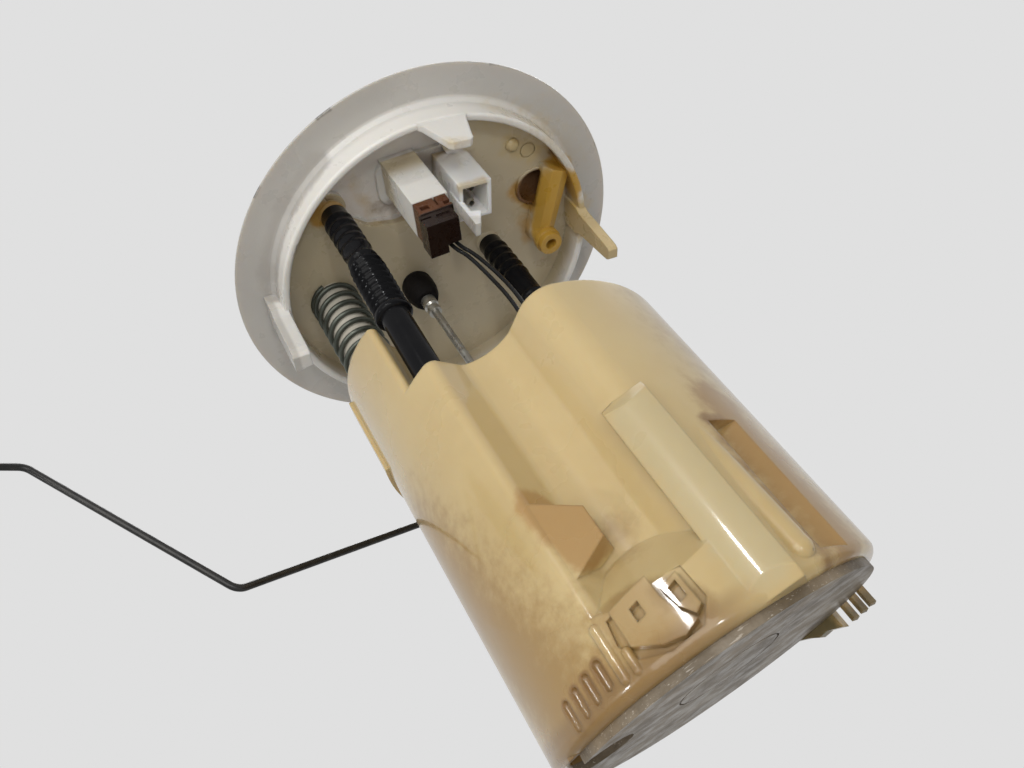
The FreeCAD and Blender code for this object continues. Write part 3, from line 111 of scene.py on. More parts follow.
# %% [markdown]
# The picture's background is one flat light grey. Light as strong as that grey would wash out the part, so
# the world shows it only to the camera, in reflections and through clear surfaces. All else gets a weaker
# white.

# %% World
BACKDROP_GREY = (0.745, 0.745, 0.745, 1.0)
SOFT_STRENGTH = 0.36
world = bpy.data.worlds.new("studio")
world.use_nodes = True
scene.world = world
world_tree = world.node_tree
world_tree.nodes.clear()
world_out = world_tree.nodes.new("ShaderNodeOutputWorld")
soft_light = world_tree.nodes.new("ShaderNodeBackground")
soft_light.inputs["Color"].default_value = (1.0, 1.0, 1.0, 1.0)
soft_light.inputs["Strength"].default_value = SOFT_STRENGTH
backdrop = world_tree.nodes.new("ShaderNodeBackground")
backdrop.inputs["Color"].default_value = BACKDROP_GREY
ray_kind = world_tree.nodes.new("ShaderNodeLightPath")
seen_direct = world_tree.nodes.new("ShaderNodeMath")
seen_direct.operation = "ADD"
seen = world_tree.nodes.new("ShaderNodeMath")
seen.operation = "ADD"
seen.use_clamp = True
choose = world_tree.nodes.new("ShaderNodeMixShader")
link = world_tree.links.new
link(ray_kind.outputs["Is Camera Ray"], seen_direct.inputs[0])
link(ray_kind.outputs["Is Transmission Ray"], seen_direct.inputs[1])
link(seen_direct.outputs[0], seen.inputs[0])
link(ray_kind.outputs["Is Glossy Ray"], seen.inputs[1])
link(seen.outputs[0], choose.inputs["Fac"])
link(soft_light.outputs[0], choose.inputs[1])
link(backdrop.outputs[0], choose.inputs[2])
link(choose.outputs[0], world_out.inputs["Surface"])

# %% [markdown]
# The floor lies well below the part. Seen from underneath it is clear, and it stops no lamp, so that a view
# from below still shows the part.

# %% Floor
FLOOR_Z = -0.75
FLOOR_HALF = 3.0
floor_mesh = bmesh.new()
bmesh.ops.create_grid(floor_mesh, x_segments=2, y_segments=2, size=FLOOR_HALF)
bmesh.ops.translate(floor_mesh, verts=floor_mesh.verts, vec=(0.0, 0.0, FLOOR_Z))
floor_data = bpy.data.meshes.new("floor")
floor_mesh.to_mesh(floor_data)
floor_mesh.free()
floor = bpy.data.objects.new("floor", floor_data)
scene.collection.objects.link(floor)

floor_paint = bpy.data.materials.new("floor_paint")
floor_paint.use_nodes = True
floor_tree = floor_paint.node_tree
floor_shader = floor_tree.nodes["Principled BSDF"]
floor_shader.inputs["Base Color"].default_value = (0.72, 0.72, 0.72, 1.0)
floor_shader.inputs["Roughness"].default_value = 0.9
floor_clear = floor_tree.nodes.new("ShaderNodeBsdfTransparent")
floor_side = floor_tree.nodes.new("ShaderNodeNewGeometry")
floor_ray = floor_tree.nodes.new("ShaderNodeLightPath")
floor_open = floor_tree.nodes.new("ShaderNodeMath")
floor_open.operation = "MAXIMUM"
floor_mix = floor_tree.nodes.new("ShaderNodeMixShader")
floor_link = floor_tree.links.new
floor_link(floor_side.outputs["Backfacing"], floor_open.inputs[0])
floor_link(floor_ray.outputs["Is Shadow Ray"], floor_open.inputs[1])
floor_link(floor_open.outputs[0], floor_mix.inputs["Fac"])
floor_link(floor_shader.outputs[0], floor_mix.inputs[1])
floor_link(floor_clear.outputs[0], floor_mix.inputs[2])
floor_link(floor_mix.outputs[0], floor_tree.nodes["Material Output"].inputs["Surface"])
floor.data.materials.append(floor_paint)

# %% [markdown]
# ## Node groups
# Moulded plastic is never one flat colour. Five small node groups are built once and used again in each
# material with their own values: a drifting tint, a capsule of colour along a short line, a ring mark, fine
# scratches, and the shallow waviness that a moulding's surface has. The capsule lays stains and also painted
# shade and painted light, and the ring lays the lid's beige and the painted shade of its outer ring. All of
# them read Object coordinates, which here are metres in the same frame as the CAD, so stains and painted
# shade can be put exactly where the photograph shows them.


# %% Group helper
def new_group(name, inputs, output):
    """Empty shader node group with named inputs (label, kind, value) and one output (label, kind)."""
    tree = bpy.data.node_groups.new(name, "ShaderNodeTree")
    for label, kind, value in inputs:
        socket = tree.interface.new_socket(name=label, in_out="INPUT", socket_type="NodeSocket" + kind)
        if value is not None:
            socket.default_value = value
    tree.interface.new_socket(name=output[0], in_out="OUTPUT", socket_type="NodeSocket" + output[1])
    return tree, tree.nodes.new("NodeGroupInput"), tree.nodes.new("NodeGroupOutput")


def feed(tree, socket, value):
    """Set a socket to a plain value, or link another socket to it."""
    if isinstance(value, bpy.types.NodeSocket):
        tree.links.new(value, socket)
    else:
        socket.default_value = value


def math_node(tree, operation, first, second, clamp=False):
    """Math node; each input is a socket to link or a number to set."""
    node = tree.nodes.new("ShaderNodeMath")
    node.operation = operation
    node.use_clamp = clamp
    feed(tree, node.inputs[0], first)
    feed(tree, node.inputs[1], second)
    return node.outputs[0]


def vector_node(tree, operation, first, second, output="Vector"):
    """Vector Math node with two vectors; the output is named Vector or Value."""
    node = tree.nodes.new("ShaderNodeVectorMath")
    node.operation = operation
    feed(tree, node.inputs[0], first)
    feed(tree, node.inputs[1], second)
    return node.outputs[output]


def noise_node(tree, place, scale, detail, roughness):
    """Noise texture read at a place; scale is a number or a socket."""
    node = tree.nodes.new("ShaderNodeTexNoise")
    tree.links.new(place, node.inputs["Vector"])
    node.inputs["Detail"].default_value = detail
    node.inputs["Roughness"].default_value = roughness
    feed(tree, node.inputs["Scale"], scale)
    return node.outputs["Fac"]


def map_node(tree, value, low, high, to_low=0.0, to_high=1.0):
    """Map Range with a smooth step; low and high may be sockets."""
    node = tree.nodes.new("ShaderNodeMapRange")
    node.interpolation_type = "SMOOTHSTEP"
    tree.links.new(value, node.inputs["Value"])
    for label, number in (("From Min", low), ("From Max", high), ("To Min", to_low), ("To Max", to_high)):
        feed(tree, node.inputs[label], number)
    return node.outputs["Result"]


# %% Tint that drifts over the surface
drift_group, drift_in, drift_out = new_group(
    "Colour drift",
    [("Position", "Vector", None), ("Scale", "Float", 40.0), ("Colour", "Color", (0.8, 0.8, 0.8, 1.0)),
     ("Tint", "Color", (0.5, 0.5, 0.5, 1.0)), ("Amount", "Float", 0.5)],
    ("Colour", "Color"))
drift_noise = noise_node(drift_group, drift_in.outputs["Position"], drift_in.outputs["Scale"], 5.0, 0.6)
drift_mask = map_node(drift_group, drift_noise, 0.32, 0.70)
drift_amount = math_node(drift_group, "MULTIPLY", drift_mask, drift_in.outputs["Amount"], True)
drift_mix = drift_group.nodes.new("ShaderNodeMix")
drift_mix.data_type = "RGBA"
drift_group.links.new(drift_amount, drift_mix.inputs["Factor"])
drift_group.links.new(drift_in.outputs["Colour"], drift_mix.inputs["A"])
drift_group.links.new(drift_in.outputs["Tint"], drift_mix.inputs["B"])
drift_group.links.new(drift_mix.outputs["Result"], drift_out.inputs["Colour"])

# %% Capsule of colour round a short line, for stains, painted shade and painted light
capsule_group, capsule_in, capsule_out = new_group(
    "Capsule",
    [("Position", "Vector", None), ("Start", "Vector", (0.0, 0.0, 0.0)), ("Reach", "Vector", (0.0, 0.0, 0.0)),
     ("Radius", "Float", 0.01), ("Softness", "Float", 0.006), ("Breakup", "Float", 0.004),
     ("Amount", "Float", 1.0)],
    ("Mask", "Float"))
capsule_from = vector_node(capsule_group, "SUBTRACT", capsule_in.outputs["Position"], capsule_in.outputs["Start"])
capsule_reach = capsule_in.outputs["Reach"]
capsule_along = vector_node(capsule_group, "DOT_PRODUCT", capsule_from, capsule_reach, "Value")
capsule_whole = vector_node(capsule_group, "DOT_PRODUCT", capsule_reach, capsule_reach, "Value")
capsule_part = math_node(capsule_group, "DIVIDE", capsule_along, capsule_whole, True)
capsule_scaled = capsule_group.nodes.new("ShaderNodeVectorMath")
capsule_scaled.operation = "SCALE"
capsule_group.links.new(capsule_reach, capsule_scaled.inputs[0])
capsule_group.links.new(capsule_part, capsule_scaled.inputs["Scale"])
capsule_gap = vector_node(capsule_group, "DISTANCE", capsule_from, capsule_scaled.outputs["Vector"], "Value")
capsule_noise = noise_node(capsule_group, capsule_in.outputs["Position"], 260.0, 4.0, 0.6)
capsule_ragged = math_node(capsule_group, "SUBTRACT", capsule_noise, 0.5)
capsule_ragged = math_node(capsule_group, "MULTIPLY", capsule_ragged, capsule_in.outputs["Breakup"])
capsule_ragged = math_node(capsule_group, "MULTIPLY", capsule_ragged, 2.0)
capsule_far = math_node(capsule_group, "ADD", capsule_gap, capsule_ragged)
capsule_low = math_node(capsule_group, "SUBTRACT", capsule_in.outputs["Radius"], capsule_in.outputs["Softness"])
capsule_mask = map_node(capsule_group, capsule_far, capsule_low, capsule_in.outputs["Radius"], 1.0, 0.0)
capsule_mask = math_node(capsule_group, "MULTIPLY", capsule_mask, capsule_in.outputs["Amount"], True)
capsule_group.links.new(capsule_mask, capsule_out.inputs["Mask"])

# %% Ring round an upright axis
ring_group, ring_in, ring_out = new_group(
    "Ring",
    [("Position", "Vector", None), ("Centre", "Vector", (0.0, 0.0, 0.0)), ("Radius", "Float", 0.01),
     ("Width", "Float", 0.001), ("Amount", "Float", 1.0)],
    ("Mask", "Float"))
ring_from = vector_node(ring_group, "SUBTRACT", ring_in.outputs["Position"], ring_in.outputs["Centre"])
ring_flat = vector_node(ring_group, "MULTIPLY", ring_from, (1.0, 1.0, 0.0))
ring_length = ring_group.nodes.new("ShaderNodeVectorMath")
ring_length.operation = "LENGTH"
ring_group.links.new(ring_flat, ring_length.inputs[0])
ring_off = math_node(ring_group, "SUBTRACT", ring_length.outputs["Value"], ring_in.outputs["Radius"])
ring_off = math_node(ring_group, "ABSOLUTE", ring_off, 0.0)
ring_mask = map_node(ring_group, ring_off, 0.0, ring_in.outputs["Width"], 1.0, 0.0)
ring_mask = math_node(ring_group, "MULTIPLY", ring_mask, ring_in.outputs["Amount"], True)
ring_group.links.new(ring_mask, ring_out.inputs["Mask"])

# %% Scratches that run mostly one way
scratch_group, scratch_in, scratch_out = new_group(
    "Scratches",
    [("Position", "Vector", None), ("Density", "Float", 90.0), ("Amount", "Float", 0.5)],
    ("Mask", "Float"))
scratch_total = None
for angle, stretch in ((25.0, 14.0), (-50.0, 20.0), (80.0, 16.0)):
    turn = scratch_group.nodes.new("ShaderNodeMapping")
    turn.inputs["Rotation"].default_value = (0.2, 0.1, math.radians(angle))
    turn.inputs["Scale"].default_value = (1.0, stretch, stretch)
    scratch_group.links.new(scratch_in.outputs["Position"], turn.inputs["Vector"])
    lines = noise_node(scratch_group, turn.outputs["Vector"], scratch_in.outputs["Density"], 2.0, 0.5)
    thin = map_node(scratch_group, lines, 0.66, 0.72)
    if scratch_total is None:
        scratch_total = thin
    else:
        scratch_total = math_node(scratch_group, "MAXIMUM", scratch_total, thin)
scratch_mask = math_node(scratch_group, "MULTIPLY", scratch_total, scratch_in.outputs["Amount"], True)
scratch_group.links.new(scratch_mask, scratch_out.inputs["Mask"])

# %% Waviness and grain of a moulded surface
grain_group, grain_in, grain_out = new_group(
    "Moulded surface",
    [("Position", "Vector", None), ("Wave", "Float", 60.0), ("Grain", "Float", 900.0),
     ("Grain share", "Float", 0.2)],
    ("Height", "Float"))
wave_noise = noise_node(grain_group, grain_in.outputs["Position"], grain_in.outputs["Wave"], 2.0, 0.4)
grain_noise = noise_node(grain_group, grain_in.outputs["Position"], grain_in.outputs["Grain"], 3.0, 0.6)
grain_part = math_node(grain_group, "MULTIPLY", grain_noise, grain_in.outputs["Grain share"])
surface_height = math_node(grain_group, "ADD", wave_noise, grain_part)
grain_group.links.new(surface_height, grain_out.inputs["Height"])
print("node groups:", [group.name for group in bpy.data.node_groups])


# %% [markdown]
# ## Materials
# Each finish is one Principled shader. The helper below lays out what they share: Object coordinates, a
# drifting colour, roughness that varies a little, and a shallow bump. Single numbers, such as the specular
# level, are set on the shader itself. Moulded plastic has no knife edges, and a Bevel node blends the
# normals of two faces that meet, so an edge catches the light with no change to the model.

# %% Material helper
def place_group(tree, group, position, **values):
    """Group node in a material, with the values for its named inputs."""
    node = tree.nodes.new("ShaderNodeGroup")
    node.node_tree = group
    tree.links.new(position, node.inputs["Position"])
    for label, value in values.items():
        node.inputs[label.replace("_", " ")].default_value = value
    return node.outputs[0]


def mix_colour(tree, mask, base, colour):
    """Mix a colour over a base where the mask is 1; base and colour may be sockets."""
    node = tree.nodes.new("ShaderNodeMix")
    node.data_type = "RGBA"
    tree.links.new(mask, node.inputs["Factor"])
    feed(tree, node.inputs["A"], base)
    feed(tree, node.inputs["B"], colour)
    return node.outputs["Result"]


def finish_material(name, colour, tint, drift=0.5, drift_scale=40.0, rough=(0.3, 0.45), bump=0.0003,
                    wave=60.0, grain=900.0, grain_share=0.2, metallic=0.0, coat=0.0, specular=0.5, edge=0.0):
    """Material with a drifting colour, uneven gloss and a shallow bump; an edge radius rounds its edges."""
    material = bpy.data.materials.new(name)
    material.use_nodes = True
    tree = material.node_tree
    shader = tree.nodes["Principled BSDF"]
    position = tree.nodes.new("ShaderNodeTexCoord").outputs["Object"]
    base = place_group(tree, drift_group, position, Scale=drift_scale, Colour=colour, Tint=tint, Amount=drift)
    tree.links.new(base, shader.inputs["Base Color"])
    gloss = noise_node(tree, position, drift_scale * 2.3, 4.0, 0.6)
    tree.links.new(map_node(tree, gloss, 0.3, 0.7, rough[0], rough[1]), shader.inputs["Roughness"])
    height = place_group(tree, grain_group, position, Wave=wave, Grain=grain, Grain_share=grain_share)
    relief = tree.nodes.new("ShaderNodeBump")
    relief.inputs["Strength"].default_value = 1.0
    relief.inputs["Distance"].default_value = bump
    tree.links.new(height, relief.inputs["Height"])
    if edge:
        rounding = tree.nodes.new("ShaderNodeBevel")
        rounding.samples = 4
        rounding.inputs["Radius"].default_value = edge
        tree.links.new(rounding.outputs["Normal"], relief.inputs["Normal"])
    tree.links.new(relief.outputs["Normal"], shader.inputs["Normal"])
    shader.inputs["Metallic"].default_value = metallic
    shader.inputs["Coat Weight"].default_value = coat
    shader.inputs["Specular IOR Level"].default_value = specular
    return material, tree, shader, position, base


def slope_mask(tree, position, across, low, high):
    """Mask from 1 to 0 as the dot product of the place with a vector goes from low to high, in metres."""
    return map_node(tree, vector_node(tree, "DOT_PRODUCT", position, across, "Value"), low, high, 1.0, 0.0)


def soften(shader, weight, radius, scale):
    """Let some light into the surface, as cloudy plastic does."""
    shader.inputs["Subsurface Weight"].default_value = weight
    shader.inputs["Subsurface Radius"].default_value = radius
    shader.inputs["Subsurface Scale"].default_value = scale


def add_capsules(tree, shader, position, base, stains):
    """Lay capsules of colour over the base, for stains, painted shade and painted light: (start in mm, end in
    mm, radius, softness, amount, colour).
    """
    for start, end, radius, softness, amount, colour in stains:
        reach = [(b - a) * 0.001 for a, b in zip(start, end)]
        mask = place_group(tree, capsule_group, position, Start=[c * 0.001 for c in start], Reach=reach,
                           Radius=radius * 0.001, Softness=softness * 0.001, Breakup=softness * 0.0006,
                           Amount=amount)
        base = mix_colour(tree, mask, base, colour)
    tree.links.new(base, shader.inputs["Base Color"])
    return base


# %% [markdown]
# The lid is cloudy white plastic that fuel has stained. Its flat outer ring faces down and is painted greyer
# than the skirt as painted shade, the space inside the skirt is beige, and the pocket, the drain channel and
# one lug have gone amber. The grey and the beige follow the lid's roundness, so they come from the ring
# group, and
# the beige is kept between the two heights of that space. All else is soft capsules, one laid over the other:
# mostly stains, but one is painted light that whitens the socket a lug shades, and one is painted shade that
# browns the sockets' roots. A capsule has a start, an end, a radius, the width of its fading rim, an amount
# and a colour, with its places and lengths in millimetres.

# %% Milky lid
milky, milky_tree, milky_shader, milky_place, milky_base = finish_material(
    "milky_lid", (0.68, 0.66, 0.62, 1.0), (0.60, 0.575, 0.52, 1.0), 0.5, 30.0, (0.22, 0.42), 0.0002,
    edge=0.0007)
BROWN_STAIN_AND_SHADE = (0.13, 0.055, 0.015, 1.0)
AMBER_STAIN = (0.42, 0.23, 0.045, 1.0)
OCHRE = (0.50, 0.36, 0.13, 1.0)
BEIGE_STAIN = (0.47, 0.39, 0.26, 1.0)
SOOT_AND_HOLE_SHADE = (0.05, 0.05, 0.05, 1.0)
CONE_GREY = (0.42, 0.395, 0.36, 1.0)
RING_SHADE_GREY = (0.40, 0.38, 0.345, 1.0)
CEILING_BEIGE = (0.47, 0.39, 0.245, 1.0)
SOCKET_PAINTED_LIGHT = (0.88, 0.87, 0.85, 1.0)
DUCT_AMBER = (0.47, 0.27, 0.035, 1.0)
# Painted shade: the flat outer ring faces down and is painted grey.
lid_ring_shade = place_group(milky_tree, ring_group, milky_place, Radius=0.0650, Width=0.0118, Amount=1.0)
lid_ring_shade = map_node(milky_tree, lid_ring_shade, 0.02, 0.09, 0.0, 0.7)
milky_base = mix_colour(milky_tree, lid_ring_shade, milky_base, RING_SHADE_GREY)
ceiling = place_group(milky_tree, ring_group, milky_place, Radius=0.0, Width=0.053, Amount=1.0)
ceiling = map_node(milky_tree, ceiling, 0.0, 0.006)
below = slope_mask(milky_tree, milky_place, (0.0, 0.0, -1.0), 0.002, 0.0085)
ceiling = math_node(milky_tree, "MULTIPLY", ceiling, below)
inside = slope_mask(milky_tree, milky_place, (0.0, 0.0, 1.0), 0.0022, 0.0029)
ceiling = math_node(milky_tree, "MULTIPLY", ceiling, inside)
ceiling = math_node(milky_tree, "MULTIPLY", ceiling, 0.9)
milky_base = mix_colour(milky_tree, ceiling, milky_base, CEILING_BEIGE)
lid_stains_and_painted_light = [
    ((20.0, 10.0, 0.0), (38.0, -5.0, 0.0), 30.0, 24.0, 0.5, BEIGE_STAIN),
    ((-54.2, -9.5, -0.8), (-45.0, -31.5, -0.8), 4.6, 2.4, 0.8, CONE_GREY),
    ((-45.0, -31.5, -0.8), (-27.5, -47.6, -0.8), 4.6, 2.4, 0.8, CONE_GREY),
    ((-27.5, -47.6, -0.8), (-12.0, -53.6, -0.8), 4.6, 2.4, 0.8, CONE_GREY),
    # Painted light: socket B is painted whiter where the lug in front of it shades it.
    ((19.3, -21.9, -6.0), (19.3, -21.9, -18.0), 10.5, 1.5, 0.9, SOCKET_PAINTED_LIGHT),
    ((36.0, -32.0, -4.0), (50.0, -15.0, -4.0), 9.0, 8.0, 0.4, OCHRE),
    ((46.3, -20.0, -2.5), (50.8, -3.0, -1.5), 2.4, 1.6, 0.9, AMBER_STAIN),
    ((50.6, -5.0, -2.0), (50.8, 2.0, -4.0), 3.0, 1.6, 0.9, BROWN_STAIN_AND_SHADE),
    ((52.0, 2.0, -6.0), (52.5, 6.0, -10.0), 4.0, 2.5, 0.85, AMBER_STAIN),
    ((-21.1, -37.0, 0.0), (-18.0, -36.0, -2.2), 6.0, 3.0, 0.95, AMBER_STAIN),
    ((-8.0, -36.0, 2.0), (-8.2, -24.0, 2.0), 4.5, 4.0, 0.6, OCHRE),
    ((-6.6, -24.0, 2.0), (-1.0, -20.0, 2.0), 4.5, 4.0, 0.7, BROWN_STAIN_AND_SHADE),
    ((34.4, 0.5, 0.0), (37.5, 8.5, 0.0), 4.8, 2.6, 0.9, AMBER_STAIN),
    ((40.1, 2.9, 3.0), (40.1, 2.9, -0.5), 7.2, 0.8, 0.95, BROWN_STAIN_AND_SHADE),
    ((33.0, 14.0, 0.0), (31.0, 20.0, -1.0), 5.0, 4.0, 0.75, AMBER_STAIN),
    ((48.5, 3.0, -4.0), (37.0, 16.0, -9.0), 8.6, 2.4, 0.95, DUCT_AMBER),
    ((34.0, 18.3, -9.0), (34.0, 18.3, -15.0), 6.0, 1.6, 0.95, DUCT_AMBER),
    ((50.0, 21.0, -8.0), (50.0, 21.0, -26.0), 11.0, 5.0, 0.8, OCHRE),
    ((25.0, -49.0, -23.5), (18.0, -49.0, -23.5), 4.5, 4.0, 0.55, OCHRE),
    ((24.0, -26.0, -18.0), (17.0, -29.0, -18.0), 3.0, 2.4, 0.6, OCHRE),
    ((40.0, -16.1, 0.0), (44.7, -9.9, 0.0), 6.0, 4.5, 0.5, OCHRE),
    # Painted shade: brown at the sockets' roots, where the skirt shades them.
    ((7.0, -33.0, 2.0), (24.0, -24.0, 2.0), 6.0, 5.0, 0.5, BROWN_STAIN_AND_SHADE),
    ((-0.6, -64.6, 0.6), (-5.0, -64.5, 0.6), 0.9, 0.6, 0.9, SOOT_AND_HOLE_SHADE),
    ((-30.0, -57.4, 0.6), (-33.0, -55.8, 0.6), 0.8, 0.6, 0.9, SOOT_AND_HOLE_SHADE),
    ((47.9, -43.7, 0.6), (46.0, -45.7, 0.6), 0.9, 0.7, 0.9, SOOT_AND_HOLE_SHADE),
    ((64.7, 2.0, 0.6), (64.7, 5.0, 0.6), 0.8, 0.6, 0.9, SOOT_AND_HOLE_SHADE),
    ((19.6, -44.5, -7.5), (19.6, -44.5, -7.5), 0.5, 0.3, 0.9, SOOT_AND_HOLE_SHADE),
]
add_capsules(milky_tree, milky_shader, milky_place, milky_base, lid_stains_and_painted_light)
soften(milky_shader, 0.25, (1.0, 0.7, 0.4), 0.004)
print("lid stains:", len(lid_stains_and_painted_light))

# %% [markdown]
# The pot is the same kind of plastic, but fuel has turned it amber, and its wall is thick enough that light
# sinks in. The photograph shows it creamy on the upper left, browner to the right and in every hollow, and
# faintly green on the panel; the brown to the right, along the left edge, on the wedge and the latch and in
# the hollows is painted shade. Its foot slants by 16 degrees and on the left has a brown band of painted
# shade that
# follows the slope: the mask reads the height above a plane that slants alike. The pot is very glossy, so a
# clear coat with little roughness lies on top.

# %% Amber pot
amber, amber_tree, amber_shader, amber_place, amber_base = finish_material(
    "amber_pot", (0.53, 0.405, 0.200, 1.0), (0.42, 0.295, 0.120, 1.0), 0.7, 12.0, (0.24, 0.38), 0.0003,
    30.0, 700.0, 0.04, coat=0.6, specular=0.3, edge=0.0009)
SHADE_TAN = (0.30, 0.18, 0.055, 1.0)
SHADE_DEEP_BROWN = (0.20, 0.105, 0.03, 1.0)
PANEL_GREEN = (0.44, 0.375, 0.225, 1.0)
OLIVE = (0.13, 0.105, 0.05, 1.0)
WEDGE_SHADE_TAN = (0.36, 0.21, 0.07, 1.0)
LATCH_SHADE_TAN = (0.36, 0.24, 0.10, 1.0)
FOOT_SHADE_BROWN = (0.22, 0.13, 0.045, 1.0)
FOOT_SLOPE = 0.28675
RIGHT_SHADE_BROWN = (0.29, 0.165, 0.05, 1.0)
RECESS_SHADOW_TAN = (0.34, 0.22, 0.09, 1.0)
WINDOW_SHADE_TAN = (0.28, 0.175, 0.06, 1.0)
pot_stains_and_shade = [
    # Painted shade: the right side, turned from the light, is darkened.
    ((46.0, 4.0, -95.0), (46.0, 4.0, -190.0), 38.0, 30.0, 0.8, SHADE_TAN),
    ((14.5, -40.5, -130.0), (14.5, -41.5, -174.0), 8.5, 5.0, 0.6, PANEL_GREEN),
    # Painted shade: the right ridge, turned from the light, is darkened.
    ((33.0, -25.0, -128.0), (33.0, -25.0, -182.0), 10.0, 7.0, 0.9, RIGHT_SHADE_BROWN),
    # Painted shade: the groove's floor and its dark top.
    ((25.2, -30.0, -136.5), (25.2, -30.0, -178.0), 4.0, 3.0, 0.85, SHADE_DEEP_BROWN),
    ((27.0, -31.5, -135.5), (30.0, -29.5, -135.5), 3.0, 2.2, 0.8, SHADE_DEEP_BROWN),
    # Painted shade: the wedge's face, turned from the light, and a painted shadow in the hollow beside it.
    ((-13.0, -40.0, -133.0), (-10.0, -40.0, -148.0), 8.0, 2.5, 0.9, WEDGE_SHADE_TAN),
    ((-4.4, -33.0, -144.0), (-4.6, -35.0, -150.0), 6.5, 5.0, 0.75, RECESS_SHADOW_TAN),
    # Painted shade: the latch's tongue and the bowl round it are darkened.
    ((-11.5, -43.0, -168.0), (-8.0, -43.0, -175.0), 9.5, 3.5, 0.85, LATCH_SHADE_TAN),
    ((-3.0, -43.5, -169.5), (0.0, -43.5, -176.0), 4.8, 2.5, 0.75, WINDOW_SHADE_TAN),
    # Painted shade: the left edge and the lower left rim are darkened.
    ((-46.0, -12.0, -110.0), (-32.0, -36.0, -186.0), 26.0, 21.0, 0.9, SHADE_TAN),
    ((-28.0, -36.0, -176.0), (-8.0, -45.0, -181.0), 9.0, 8.0, 0.8, SHADE_TAN),
    # Painted shade: the dark insides of the slots.
    ((-33.0, -31.4, -171.5), (-33.0, -31.4, -177.0), 2.2, 0.9, 0.85, SHADE_DEEP_BROWN),
    ((-29.7, -34.2, -171.5), (-29.7, -34.2, -177.0), 2.2, 0.9, 0.85, SHADE_DEEP_BROWN),
    ((-26.3, -36.5, -171.5), (-26.3, -36.5, -177.0), 2.2, 0.9, 0.85, SHADE_DEEP_BROWN),
    ((-22.8, -38.4, -171.5), (-22.8, -38.4, -177.0), 2.2, 0.9, 0.85, SHADE_DEEP_BROWN),
    ((20.0, 33.0, -166.0), (22.0, 36.0, -172.0), 9.5, 3.0, 0.9, OLIVE),
    ((31.0, 24.0, -171.0), (36.0, 17.0, -173.0), 5.5, 3.5, 0.75, OLIVE),
    # Painted shade: the dark inside of the pin hole at the ball's end.
    ((25.4, -34.6, -176.6), (25.4, -34.6, -176.6), 0.9, 0.4, 0.95, SOOT_AND_HOLE_SHADE),
    # Painted shade: the hollow at the lower left foot.
    ((-33.5, -15.5, -172.0), (-33.5, -15.5, -182.0), 10.0, 2.0, 0.8, SHADE_DEEP_BROWN),
    ((-3.4, 4.0, -100.0), (-3.4, 4.0, -150.0), 26.0, 6.0, 0.7, SHADE_TAN),
]
# Painted shade: a brown band along the slanted foot, on the left only.
foot_shade_band = slope_mask(amber_tree, amber_place, (0.0, -FOOT_SLOPE, 1.0), -0.1665, -0.1625)
foot_left = slope_mask(amber_tree, amber_place, (1.0, 0.0, 0.0), 0.000, 0.014)
foot_shade_band = math_node(amber_tree, "MULTIPLY", foot_shade_band, foot_left)
foot_shade_band = math_node(amber_tree, "MULTIPLY", foot_shade_band, 0.8)
amber_base = add_capsules(amber_tree, amber_shader, amber_place, amber_base, pot_stains_and_shade)
amber_base = mix_colour(amber_tree, foot_shade_band, amber_base, FOOT_SHADE_BROWN)
amber_tree.links.new(amber_base, amber_shader.inputs["Base Color"])
amber_shader.inputs["Coat Roughness"].default_value = 0.08
soften(amber_shader, 0.25, (1.0, 0.6, 0.25), 0.003)
print("pot stains:", len(pot_stains_and_shade))

# %% [markdown]
# The bottom plate is the part that scrapes along, so it is dull, grey-beige and scratched, with a few dark
# dots and hairlines. The scratches group stretches a noise along three directions and keeps its peaks.

# %% Grey bottom plate
plate, plate_tree, plate_shader, plate_place, plate_base = finish_material(
    "plate_grey", (0.22, 0.18, 0.13, 1.0), (0.09, 0.068, 0.043, 1.0), 0.85, 75.0, (0.30, 0.55), 0.0003,
    grain_share=0.5, specular=0.3)
SCRATCH_PALE = (0.52, 0.47, 0.40, 1.0)
SCRATCH_DARK = (0.10, 0.08, 0.06, 1.0)
EDGE_TAN = (0.30, 0.22, 0.13, 1.0)
plate_marks = place_group(plate_tree, scratch_group, plate_place, Density=120.0, Amount=0.5)
plate_base = mix_colour(plate_tree, plate_marks, plate_base, SCRATCH_PALE)
plate_dark = place_group(plate_tree, scratch_group, plate_place, Density=61.0, Amount=0.35)
plate_base = mix_colour(plate_tree, plate_dark, plate_base, SCRATCH_DARK)
plate_stains = [
    ((6.3, 2.2, -170.2), (6.3, 2.2, -170.2), 0.9, 0.5, 0.95, SOOT_AND_HOLE_SHADE),
    ((2.6, 25.4, -163.5), (2.6, 25.4, -163.5), 0.9, 0.5, 0.95, SOOT_AND_HOLE_SHADE),
    ((-5.5, 7.0, -169.0), (-2.0, 11.0, -168.0), 2.2, 1.6, 0.75, SOOT_AND_HOLE_SHADE),
    ((28.3, -13.7, -174.7), (28.3, -13.7, -174.7), 0.8, 0.4, 0.95, SOOT_AND_HOLE_SHADE),
    ((32.0, 1.0, -170.5), (33.0, 2.0, -170.0), 0.9, 0.5, 0.95, SOOT_AND_HOLE_SHADE),
    ((22.8, 9.0, -168.0), (24.5, 10.5, -167.5), 1.3, 0.9, 0.9, SOOT_AND_HOLE_SHADE),
    ((13.4, -40.0, -182.0), (16.7, -10.8, -173.9), 0.7, 0.5, 0.6, SOOT_AND_HOLE_SHADE),
    ((0.7, -42.0, -182.5), (1.2, -17.5, -175.8), 0.7, 0.5, 0.6, SOOT_AND_HOLE_SHADE),
    ((-13.5, -34.8, -180.8), (-15.0, -1.2, -171.2), 0.7, 0.5, 0.6, SOOT_AND_HOLE_SHADE),
    ((-30.0, -30.0, -178.0), (30.0, -30.0, -178.0), 9.0, 8.0, 0.35, EDGE_TAN),
]
